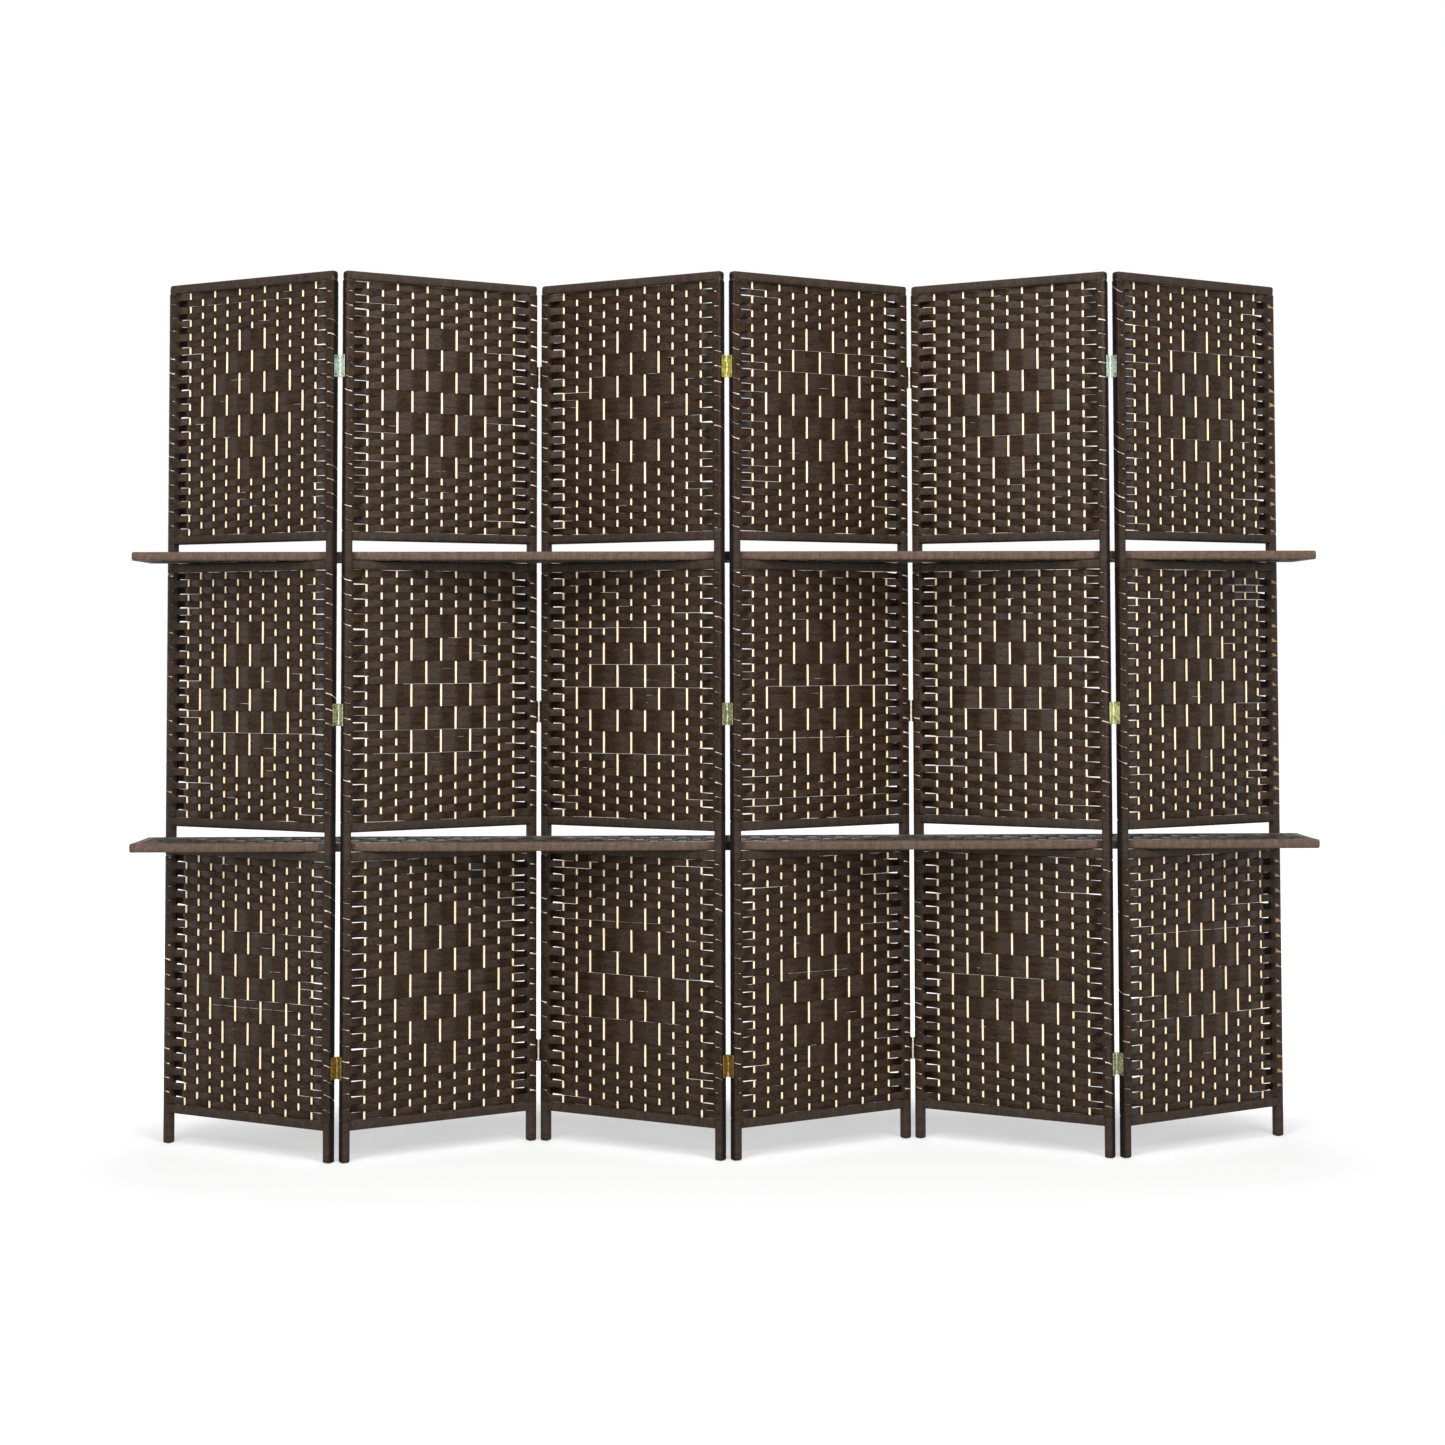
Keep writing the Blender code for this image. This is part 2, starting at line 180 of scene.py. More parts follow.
# Hinge screws, two in each leaf with their heads flush
LEAF_FACE = 0.0013             # from the outer side of a post to the face of its leaf
SCREW_SEAT = 0.0026            # radius of the sunk edge round a head
SCREW_RADIUS = 0.0021
SCREW_RISE = 0.0001
SCREW_SIDES = 16
SCREW_SLOT = 0.0006            # width of the arms of the cross in a head
SCREW_ARM = 1.25               # length of an arm, against the radius
SCREW_ARM_RISES = (2.4, 2.5)   # heights of the two arms, against that of the head
SCREW_FLAT = 0.75              # radius of the flat top of a head, against its own
SCREW_SEAT_RISE = 0.4          # height of the seat, against that of the head
SCREW_SPREAD = 0.0345          # between the two screws of a leaf
SCREW_OFFSET = 0.0025          # from the middle of the post, away from the barrel

# How the three hinges of each hinge line have come out of their plating, from the left
HINGE_PLATING = {
    "top": ("silver", "dull", "yellow", "dull", "silver"),
    "middle": ("olive", "dull", "olive", "dull", "pale"),
    "bottom": ("orange", "dull", "orange", "dull", "olive"),
}

# Studio
FLOOR_SIZE = 40.0
FLOOR_DROP = 0.0005            # below the feet
SHADOW_PLACE = (0.0, 0.2, 0.0)             # centring of the oval round the feet
SHADOW_SHAPE = (0.74, 2.0, 1.0)            # scale at which it is a circle
SHADOW_EDGE = (0.85, 1.7)      # radii between which the glow of the floor grows
FLOOR_GLOW = (0.47, 1.0)
WORLD_LIGHT = 0.085            # of the white background on the object
LAMPS = {                      # place, aim, width, height and watts
    "side_left": ((-3.6, 0.3, 1.1), (0.0, 0.0, 1.0), 1.1, 2.2, 13.0),
    "side_right": ((3.6, 0.3, 1.1), (0.0, 0.0, 1.0), 1.1, 2.2, 9.0),
    "front_left": ((-1.9, -4.3, 4.0), (0.0, 0.0, 0.9), 1.4, 1.4, 140.0),
    "front_right": ((1.9, -4.3, 4.0), (0.0, 0.0, 0.9), 1.4, 1.4, 140.0),
    "strip_left": ((-2.65, -4.5, 1.2), (0.0, 0.0, 1.0), 0.5, 2.4, 63.0),
    "strip_right": ((2.65, -4.5, 1.2), (0.0, 0.0, 1.0), 0.5, 2.4, 63.0),
    "top": ((0.0, -1.8, 4.4), (0.0, 0.0, 1.0), 3.2, 1.6, 110.0),
    "back": ((0.0, 4.2, 3.2), (0.0, 0.0, 1.0), 3.2, 1.6, 60.0),
}
CAMERA_PLACE = (-0.113, -4.99, 1.030)
CAMERA_PAN = -0.0212           # radians
CAMERA_PITCH = 0.0439
CAMERA_ROLL = -0.0021
LENS = 59.86                   # millimetres, on a sensor 36 wide
LENS_SHIFT = -0.1246

HALF_WIDTH = PANEL_WIDTH / 2
HALF_POLE = POLE / 2
POST_CENTRE = HALF_WIDTH - HALF_POLE
FIELD_HALF = HALF_WIDTH - POLE
STAKE_STEP = 2 * FIELD_HALF / (STAKE_COUNT + 1)
BAND_OFFSET = STAKE_THICKNESS / 2 + BAND_THICKNESS / 2 + WEAVE_CLEARANCE
BAND_ON_POST = HALF_POLE - BAND_THICKNESS / 2      # from the middle of a post
SHARP_ANGLE = math.radians(60)     # only the ends of wound poles are sharper


# Nodes

def find(sockets, key):
    """The enabled socket with this name, or at this place."""
    shown = [socket for socket in sockets if socket.enabled]
    if isinstance(key, int):
        return shown[key]
    return next(socket for socket in shown if socket.name == key)


class Made:
    """A node, which stands for one of its outputs. Arithmetic on it makes Math nodes."""

    def __init__(self, tree, node, output=0):
        self.tree = tree
        self.node = node
        self.output = output

    def __getitem__(self, output):
        """The same node, standing for another output."""
        return Made(self.tree, self.node, output)

    def feed(self, inputs):
        """Set inputs, found by name or place, to values or to what other nodes put out."""
        for key, value in inputs.items():
            target = find(self.node.inputs, key)
            if isinstance(value, Made):
                self.tree.links.new(find(value.node.outputs, value.output), target)
            else:
                target.default_value = value
        return self

    def __add__(self, other):
        return calc(self.tree, "ADD", self, other)

    def __sub__(self, other):
        return calc(self.tree, "SUBTRACT", self, other)

    def __rsub__(self, other):
        return calc(self.tree, "SUBTRACT", other, self)

    def __mul__(self, other):
        return calc(self.tree, "MULTIPLY", self, other)

    def __truediv__(self, other):
        return calc(self.tree, "DIVIDE", self, other)

    def __mod__(self, other):
        return calc(self.tree, "MODULO", self, other)

    def __pow__(self, other):
        return calc(self.tree, "POWER", self, other)

    def __abs__(self):
        return calc(self.tree, "ABSOLUTE", self)


def add(tree, kind, inputs=None, **settings):
    """Add a node, set it up and feed it."""
    node = tree.nodes.new(kind)
    for name, value in settings.items():
        setattr(node, name, value)
    return Made(tree, node).feed(inputs or {})


def calc(tree, operation, *numbers):
    """A Math node."""
    return add(tree, "ShaderNodeMath", dict(enumerate(numbers)), operation=operation)


def xyz(tree, x=0.0, y=0.0, z=0.0):
    """A vector put together from three numbers."""
    return add(tree, "ShaderNodeCombineXYZ", {"X": x, "Y": y, "Z": z})


def start_tree(name, kind, inputs, outputs):
    """A node group with named inputs and outputs, and what its inputs give."""
    tree = bpy.data.node_groups.new(name, kind + "NodeTree")
    for way, sockets in (("INPUT", inputs), ("OUTPUT", outputs)):
        for label, socket in sockets.items():
            tree.interface.new_socket(label, in_out=way, socket_type="NodeSocket" + socket)
    return tree, add(tree, "NodeGroupInput")


def start_shape(name, sizes):
    """A geometry tree that makes a shape from a guide and named sizes."""
    return start_tree(name, "Geometry", {"Geometry": "Geometry", **sizes},
                      {"Geometry": "Geometry"})


def end_shape(tree, geometry, material, second=None, where=True):
    """Realize the instances, give them their material, or two, and hand them out."""
    shape = add(tree, "GeometryNodeRealizeInstances", {0: geometry})
    shape = add(tree, "GeometryNodeSetMaterial", {"Geometry": shape, "Material": material})
    if second:
        shape = add(tree, "GeometryNodeSetMaterial", {
            "Geometry": shape, "Selection": where, "Material": second})
    add(tree, "NodeGroupOutput", {0: shape})
    return tree


def stored(tree, geometry, name, value, kind="FLOAT"):
    """Keep a value on the points of a geometry under a name."""
    return add(tree, "GeometryNodeStoreNamedAttribute",
               {"Geometry": geometry, "Name": name, "Value": value}, data_type=kind, domain="POINT")


def named(tree, name, kind="FLOAT"):
    """Read a value that was kept under a name."""
    return add(tree, "GeometryNodeInputNamedAttribute", {"Name": name}, data_type=kind)


def position(tree):
    """Where a point is, as three numbers."""
    return add(tree, "ShaderNodeSeparateXYZ", {0: add(tree, "GeometryNodeInputPosition")})


def on_curve(tree, output):
    """How far along its curve a point is, as a Factor or a Length."""
    return add(tree, "GeometryNodeSplineParameter")[output]


def path_of(tree, guide, step=None):
    """The path along a guide, kept upright, with a point at every step where one is given."""
    path = add(tree, "GeometryNodeMeshToCurve", {"Mesh": guide})
    if step:
        path = add(tree, "GeometryNodeResampleCurve", {"Curve": path, "Length": step},
                   mode="LENGTH")
    return add(tree, "GeometryNodeSetCurveNormal", {"Curve": path}, mode="Z_UP")


def bar_section(tree, width, height, rounding, steps):
    """The outline of a bar with rounded edges."""
    outline = add(tree, "GeometryNodeCurvePrimitiveQuadrilateral", {
        "Width": width, "Height": height})
    return add(tree, "GeometryNodeFilletCurve", {
        "Curve": outline, "Count": steps, "Radius": rounding}, mode="POLY")


def sweep(tree, path, section, scale=1.0):
    """A section swept along a path, closed at its ends."""
    return add(tree, "GeometryNodeCurveToMesh", {
        "Curve": path, "Profile Curve": section, "Scale": scale, "Fill Caps": True})


def moved(tree, geometry, **how):
    """A geometry with its points at another Position, or off their place by an Offset."""
    return add(tree, "GeometryNodeSetPosition", {"Geometry": geometry, **how})


# Meshes and pieces

def guide_mesh(name, runs, values):
    """Open polylines, with named numbers at their points."""
    points = [point for run in runs for point in run]
    edges = []
    for run in runs:
        first = edges[-1][1] + 1 if edges else 0
        edges += [(first + step, first + step + 1) for step in range(len(run) - 1)]
    mesh = bpy.data.meshes.new(name)
    mesh.from_pydata(points, edges, [])
    for label, numbers in values.items():
        kept = mesh.attributes.new(label, "FLOAT", "POINT")
        kept.data.foreach_set("value", np.asarray(numbers, np.float32))
    return mesh


def grow(name, guide, tree, values, place=Matrix()):
    """The plain mesh that a tree makes from a guide, moved to its place."""
    source = bpy.data.objects.new(name + "_guide", guide)
    bpy.context.scene.collection.objects.link(source)
    modifier = source.modifiers.new(tree.name, "NODES")
    modifier.node_group = tree
    for item in tree.interface.items_tree:
        if item.in_out == "INPUT" and item.name in values:
            modifier[item.identifier] = values[item.name]
    depsgraph = bpy.context.evaluated_depsgraph_get()
    mesh = bpy.data.meshes.new_from_object(source.evaluated_get(depsgraph))
    bpy.data.objects.remove(source, do_unlink=True)
    bpy.data.meshes.remove(guide)
    mesh.name = name
    mesh.transform(place)
    return mesh


def put_piece(name, mesh, body, replaced=()):
    """Show a mesh as a piece that rides on a body."""
    obj = bpy.data.objects.new(name, mesh)
    bpy.context.scene.collection.objects.link(obj)
    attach(obj, body)
    if replaced:
        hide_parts(*replaced)


def number(mesh, name):
    """A named number of every point of a mesh."""
    found = np.empty(len(mesh.vertices), np.float32)
    mesh.attributes[name].data.foreach_get("value", found)
    return found


def lay_flat(mesh):
    """The flat layout of a swept skin: strip over strip, with the path from left to right."""
    corners = np.empty(len(mesh.loops), np.int32)
    mesh.loops.foreach_get("vertex_index", corners)
    starts = np.empty(len(mesh.polygons), np.int32)
    mesh.polygons.foreach_get("loop_start", starts)
    sizes = np.diff(np.append(starts, len(corners)))
    way, strip, turn = (number(mesh, name)[corners] for name in ("way", "strip", "round"))
    lowest = np.repeat(np.minimum.reduceat(strip, starts), sizes)
    highest = np.repeat(np.maximum.reduceat(turn, starts), sizes)
    way = np.where(strip > lowest + 0.5, 1.0, way)
    turn = np.where(highest - turn > 0.5, turn + 1.0, turn)
    up = (lowest + STRIP_MARGIN + (1 - 2 * STRIP_MARGIN) * turn) / (strip.max() + 1)
    layout = mesh.uv_layers.new(name="OFBake")
    layout.data.foreach_set("uv", np.stack((way, up), 1).astype(np.float32).ravel())
    for name in ("way", "strip", "top", "bottom", "axis", "round_end", "slanted"):
        if name in mesh.attributes:
            mesh.attributes.remove(mesh.attributes[name])


def mark_painted_side_shade(mesh, start, end):
    """Keep where a mesh is darkened with painted shade: from nothing to fully between two distances
    from x = 0.
    """
    points = np.empty(3 * len(mesh.vertices), np.float32)
    mesh.vertices.foreach_get("co", points)
    kept = mesh.attributes.new("side", "FLOAT", "POINT")
    kept.data.foreach_set("value", np.clip((np.abs(points[::3]) - start) / (end - start), 0, 1))


def finish_skin(mesh, shade_start, shade_end, place=Matrix(), sharp_ends=True):
    """Mark where a swept skin is darkened with painted shade, put it in its place and smooth it."""
    mark_painted_side_shade(mesh, shade_start, shade_end)
    mesh.transform(place)
    lay_flat(mesh)
    mesh.shade_smooth()
    if sharp_ends:
        mesh.set_sharp_from_angle(angle=SHARP_ANGLE)


def joined(name, meshes):
    """One mesh of several, which keeps their materials and named numbers."""
    objects = [bpy.data.objects.new(name, mesh) for mesh in meshes]
    for obj in objects:
        bpy.context.scene.collection.objects.link(obj)
    first = objects[0]
    with bpy.context.temp_override(active_object=first, object=first,
                                   selected_objects=objects,
                                   selected_editable_objects=objects):
        bpy.ops.object.join()
    mesh = first.data
    bpy.data.objects.remove(first, do_unlink=True)
    mesh.name = name
    return mesh


def box_mesh(low, high, rounding, materials):
    """A box with rounded edges."""
    bm = bmesh.new()
    bmesh.ops.create_cube(bm, size=1.0)
    for vertex in bm.verts:
        vertex.co = [a + (b - a) * (c + 0.5) for a, b, c in zip(low, high, vertex.co)]
    bmesh.ops.bevel(bm, geom=bm.edges, offset=rounding, segments=2, profile=0.5,
                    affect="EDGES")
    mesh = bpy.data.meshes.new("box")
    bm.to_mesh(mesh)
    bm.free()
    for material in materials:
        mesh.materials.append(material)
    return mesh


# Geometry trees

def make_band_tree():
    """A flat band swept along a path, with its own upper and lower edge at each point."""
    tree, given = start_shape("woven_band", {
        "Thickness": "Float", "Sides": "Int", "Tilt": "Float", "Material": "Material"})
    ring = add(tree, "GeometryNodeCurvePrimitiveCircle", {
        "Resolution": given["Sides"], "Radius": 1.0})
    spot = position(tree)
    wide = calc(tree, "MINIMUM", (abs(spot["Y"]) * EDGE_STRETCH) ** EDGE_FULLNESS, 1.0)
    across = calc(tree, "SIGN", spot["Y"]) * wide
    ring = stored(tree, ring, "across", across * -1.0)
    ring = stored(tree, ring, "round", on_curve(tree, "Factor"))
    side = calc(tree, "SIGN", spot["X"]) * abs(spot["X"]) ** BAND_FULLNESS
    depth = named(tree, "across") * given["Tilt"] + side * (given["Thickness"] * 0.5)
    section = moved(tree, ring, Position=xyz(tree, depth))
    swept = sweep(tree, path_of(tree, given["Geometry"]), section)
    share = named(tree, "across") * 0.5 + 0.5
    height = add(tree, "ShaderNodeMix", {
        "Factor": share, "A": named(tree, "bottom"), "B": named(tree, "top")}, data_type="FLOAT")
    spot = position(tree)
    band = moved(tree, swept, Position=xyz(tree, spot["X"], spot["Y"], height))
    return end_shape(tree, band, given["Material"])


def make_winding_tree():
    """A pole's skin of wound cord: a ridge for each turn, on a slant of one pitch a turn."""
    tree, given = start_shape("wound_cord", {
        "Pitch": "Float", "Width": "Float", "Depth": "Float", "Rounding": "Float",
        "Ridge": "Float", "Fade": "Float", "Seed": "Int", "Material": "Material"})
    path = path_of(tree, given["Geometry"], given["Pitch"] * 0.5)
    length = on_curve(tree, "Length")
    total = add(tree, "GeometryNodeSplineLength")["Length"]
    near_end = calc(tree, "MINIMUM", length, total - length)
    path = stored(tree, path, "turn", length / given["Pitch"])
    path = stored(tree, path, "axis", add(tree, "GeometryNodeInputTangent"), "FLOAT_VECTOR")
    path = stored(tree, path, "slanted", calc(tree, "MINIMUM", near_end / given["Fade"], 1.0))
    section = bar_section(tree, given["Depth"], given["Width"], given["Rounding"], 3)
    section = stored(tree, section, "round", on_curve(tree, "Factor"))

    place = add(tree, "GeometryNodeInputIndex")
    dip = (place % 2.0) * given["Ridge"]
    uneven = add(tree, "FunctionNodeRandomValue", {
        "Min": 0.0, "Max": given["Ridge"] * RIDGE_VARIETY, "ID": place,
        "Seed": given["Seed"]}, data_type="FLOAT")
    rounding = named(tree, "round_end")
    left = calc(tree, "MAXIMUM", rounding - near_end, 0.0)
    sunk = rounding - calc(tree, "SQRT", rounding * rounding - left * left)
    scale = 1.0 - (dip + uneven + sunk) / (given["Width"] * 0.5)

    slant = (named(tree, "round") - 0.5) * given["Pitch"] * named(tree, "slanted")
    shift = add(tree, "ShaderNodeVectorMath", {
        0: named(tree, "axis", "FLOAT_VECTOR"), "Scale": slant}, operation="SCALE")
    cord = moved(tree, sweep(tree, path, section, scale), Offset=shift)
    return end_shape(tree, cord, given["Material"])


def make_stick_tree():
    """Straight sticks with rounded edges and a slight waver."""
    tree, given = start_shape("split_sticks", {
        "Width": "Float", "Thickness": "Float", "Rounding": "Float", "Step": "Float",
        "Waver": "Float", "Material": "Material"})
    path = path_of(tree, given["Geometry"], given["Step"])
    path = stored(tree, path, "along", on_curve(tree, "Length"))
    section = bar_section(tree, given["Width"], given["Thickness"], given["Rounding"], 2)
    # edge marks the sides of a stick, which its wood darkens as painted shade
    edge = abs(position(tree)["X"]) / (given["Width"] * 0.5)
    section = stored(tree, section, "edge", edge ** STICK_EDGE_SHADE_FADE)
    wobble = add(tree, "ShaderNodeTexNoise", {"Scale": STICK_WAVER_SCALE, "Detail": 1.0})
    sticks = moved(tree, sweep(tree, path, section),
                   Offset=xyz(tree, (wobble - 0.5) * given["Waver"]))
    return end_shape(tree, sticks, given["Material"])


def make_screw_tree():
    """Flat screw heads with a cross, one at each point of the guide, facing along x."""
    tree, given = start_shape("screw_heads", {
        "Seat": "Float", "Radius": "Float", "Rise": "Float", "Slot": "Float", "Seed": "Int",
        "Metal": "Material", "RecessShade": "Material"})

    def disc(bottom, top, height):
        return add(tree, "GeometryNodeMeshCone", {
            "Vertices": SCREW_SIDES, "Radius Top": top, "Radius Bottom": bottom,
            "Depth": height})

    seat = disc(given["Seat"], given["Radius"], given["Rise"] * SCREW_SEAT_RISE)
    head = disc(given["Radius"], given["Radius"] * SCREW_FLAT, given["Rise"])
    parts = [stored(tree, seat, "sunk", 1.0), stored(tree, head, "sunk", 0.0)]
    arm = given["Radius"] * SCREW_ARM
    for (x, y), rise in zip(((arm, given["Slot"]), (given["Slot"], arm)), SCREW_ARM_RISES):
        slot = add(tree, "GeometryNodeMeshCube", {"Size": xyz(tree, x, y, given["Rise"] * rise)})
        parts.append(stored(tree, slot, "sunk", 1.0))
    whole = add(tree, "GeometryNodeJoinGeometry")
    for part in parts:
        whole.feed({0: part})
    turned = add(tree, "FunctionNodeAlignRotationToVector", {
        "Vector": xyz(tree, named(tree, "facing"))}, axis="Z")
    placed = add(tree, "GeometryNodeInstanceOnPoints", {
        "Points": given["Geometry"], "Instance": whole, "Rotation": turned})
    roll = add(tree, "FunctionNodeRandomValue", {
        "Min": 0.0, "Max": math.pi, "Seed": given["Seed"]}, data_type="FLOAT")
    placed = add(tree, "GeometryNodeRotateInstances", {
        "Instances": placed, "Rotation": xyz(tree, 0.0, 0.0, roll)})
    # The seat and the cross take the near-black material: painted shade in the recesses.
    dark = calc(tree, "GREATER_THAN", named(tree, "sunk"), 0.5)
    return end_shape(tree, placed, given["Metal"], given["RecessShade"], dark)


# Materials

def fitted(tree, value, low, high, start=0.0, end=1.0):
    """Stretch a range of numbers to another."""
    return add(tree, "ShaderNodeMapRange", {
        "Value": value, "From Min": low, "From Max": high, "To Min": start, "To Max": end})


def mixed(tree, share, first, second):
    """A colour between two, each red, green and blue, or what a node puts out."""
    first, second = ((*colour, 1.0) if isinstance(colour, tuple) else colour
                     for colour in (first, second))
    return add(tree, "ShaderNodeMix", {"Factor": share, "A": first, "B": second},
               data_type="RGBA")


def noise(tree, place, scale, detail, **more):
    """Noise between about 0.3 and 0.7."""
    return add(tree, "ShaderNodeTexNoise", {
        "Vector": place, "Scale": scale, "Detail": detail, **more})


def make_fibre_group():
    """Crinkles and fibres that run along a strip of paper, with light flecks of painted highlight
    where fibres glint.
    """
    group, given = start_tree("paper_fibre", "Shader", {"Along": "Float", "Across": "Float"}, {
        "Streaks": "Float", "GlintFlecks": "Float", "Patches": "Float", "Height": "Float"})

    def stretched(along, across, detail, offset=0.0):
        place = xyz(group, given["Along"] * along, given["Across"] * across, offset)
        return noise(group, place, 1.0, detail, Roughness=0.6)

    crinkles = stretched(80.0, 480.0, 4.0)
    hairs = stretched(170.0, 3000.0, 2.0, 4.0)
    patches = stretched(150.0, 240.0, 3.0, 8.0) * 0.6 + stretched(20.0, 62.0, 1.0, 16.0) * 0.4
    patches = fitted(group, patches, 0.36, 0.64)
    glint_flecks = fitted(group, stretched(300.0, 1500.0, 2.0, 12.0), 0.58, 0.70)
    add(group, "NodeGroupOutput", {
        "Streaks": crinkles * 0.65 + hairs * 0.35, "GlintFlecks": glint_flecks, "Patches": patches,
        "Height": crinkles * 0.75 + patches * 0.25})
    return group


def make_side_shade_group():
    """A colour darkened to near black towards the outer sides of the posts: painted shade."""
    group, given = start_tree("painted_side_shade", "Shader", {"Color": "Color", "Side": "Float"},
                              {"Color": "Color"})
    add(group, "NodeGroupOutput", {
        # near black where side is 1: painted shade of the outer sides of the posts
        0: mixed(group, given["Side"] * 0.8, given["Color"], (0.0016, 0.0012, 0.0010))})
    return group


def make_grain_group():
    """Fine wood grain along +Z."""
    group, given = start_tree("wood_grain", "Shader", {"Place": "Vector"},
                              {"Tone": "Float", "Height": "Float"})
    stretched = add(group, "ShaderNodeMapping", {
        "Vector": given["Place"], "Scale": (900.0, 900.0, 25.0)})
    grain = noise(group, stretched, 1.0, 3.0, Roughness=0.6)
    tone = grain * 0.6 + noise(group, given["Place"], 14.0, 2.0) * 0.5
    add(group, "NodeGroupOutput", {"Tone": fitted(group, tone, 0.35, 0.75), "Height": grain})
    return group


def make_plating_group():
    """Faint brushing of plated steel, along x and y, and a few dull spots."""
    group, given = start_tree("plating_wear", "Shader", {"Place": "Vector"},
                              {"Brushing": "Float", "Spots": "Float"})
    stretched = add(group, "ShaderNodeMapping", {
        "Vector": given["Place"], "Scale": (300.0, 300.0, 4000.0)})
    spots = fitted(group, noise(group, given["Place"], 260.0, 3.0), 0.40, 0.62)
    add(group, "NodeGroupOutput", {"Brushing": noise(group, stretched, 1.0, 2.0), "Spots": spots})
    return group


def start_material(name):
    """A material, its tree and its Principled shader."""
    material = bpy.data.materials.new(name)
    material.use_nodes = True
    tree = material.node_tree
    return material, tree, Made(tree, tree.nodes["Principled BSDF"])


def attribute(tree, name):
    """A named number of the surface, for a shader."""
    return add(tree, "ShaderNodeAttribute", attribute_name=name)["Fac"]


def object_place(tree):
    """Where a spot of the surface is."""
    return add(tree, "ShaderNodeTexCoord")["Object"]


def placed_group(tree, group, **inputs):
    """A group of nodes, fed with what this material has."""
    return add(tree, "ShaderNodeGroup", inputs, node_tree=group)


def bump(tree, height, strength, distance):
    """The normal of a surface with fine relief."""
    return add(tree, "ShaderNodeBump", {
        "Height": height, "Strength": strength, "Distance": distance})


def make_band_material(groups, name, dark, light, glint_fleck, roughness, grain_way):
    """Dyed paper of a woven band, with fibres that run along it.

    The gloss is drawn out along grain_way.
    """
    material, tree, shader = start_material(name)
    # side marks painted shade on the outer sides of the posts: darker colour and duller gloss
    side = attribute(tree, "side")
    lines = placed_group(tree, groups["fibre"], Along=attribute(tree, "along"),
                         Across=attribute(tree, "across") * BAND_HALF_HEIGHT)
    tone = fitted(tree, lines["Streaks"] * 0.6 + lines["Patches"] * 0.4, 0.30, 0.70)
    # Light flecks mixed into the colour: painted highlight of glinting fibres.
    colour = mixed(tree, lines["GlintFlecks"] * 0.5, mixed(tree, tone, dark, light), glint_fleck)
    rough = fitted(tree, lines["Streaks"], 0.3, 0.7, roughness + 0.10, roughness - 0.08)
    shader.feed({
        "Base Color": placed_group(tree, groups["side_shade"], Color=colour, Side=side),
        "Roughness": side * 0.5 + rough,
        "Specular IOR Level": 0.14,
        "Specular Tint": (1.0, 0.95, 0.89, 1.0),
        "Anisotropic": 0.75,
        "Tangent": xyz(tree, *grain_way),
        "Normal": bump(tree, lines["Height"], 0.8, 0.0012)})
    return material


def make_cord_material(groups, name, dark, light, roughness, variety):
    """Dyed paper cord wound round a pole. Variety is how far the turns differ in tone."""
    material, tree, shader = start_material(name)
    # side marks painted shade on the outer sides of the posts: darker colour and duller gloss
    side = attribute(tree, "side")
    turn = attribute(tree, "turn")
    lines = placed_group(tree, groups["fibre"], Along=attribute(tree, "round") * POLE_GIRTH,
                         Across=turn * CORD_PITCH)
    own = add(tree, "ShaderNodeTexWhiteNoise", {"W": calc(tree, "FLOOR", turn + 0.5)},
              noise_dimensions="1D")
    tone = lines["Streaks"] * 0.5 + own * variety + lines["Patches"] * 0.25
    tone = fitted(tree, tone + (0.15 - variety / 2), 0.30, 0.80)
    shader.feed({
        "Base Color": placed_group(tree, groups["side_shade"], Color=mixed(tree, tone, dark, light),
                                   Side=side),
        "Roughness": side * 0.4 + roughness,
        "Specular IOR Level": 0.12,
        "Normal": bump(tree, lines["Height"], 0.4, 0.0005)})
    return material


def make_wood_material(groups, name, dark, light, edge, roughness):
    """Wood with fine grain along +Z, which is darker and more orange at the edges of a stick:
    painted shade of its sides.
    """
    material, tree, shader = start_material(name)
    grain = placed_group(tree, groups["grain"], Place=object_place(tree))
    colour = mixed(tree, grain["Tone"], dark, light)
    shader.feed({
        "Base Color": mixed(tree, attribute(tree, "edge") * 0.75, colour, edge),
        "Roughness": roughness,
        "Normal": bump(tree, grain["Height"], 0.3, 0.0002)})
    return material


def make_metal_material(groups, name, dark, light, roughness):
    """Plated steel with faint brushing and a few dull spots."""
    material, tree, shader = start_material(name)
    wear = placed_group(tree, groups["plating"], Place=object_place(tree))
    shader.feed({
        "Base Color": mixed(tree, wear["Spots"], dark, light),
        "Roughness": fitted(tree, wear["Brushing"], 0.3, 0.7, roughness - 0.08,
                            roughness + 0.12),
        "Metallic": 1.0,
        "Normal": bump(tree, wear["Brushing"], 0.15, 0.0001)})
    return material


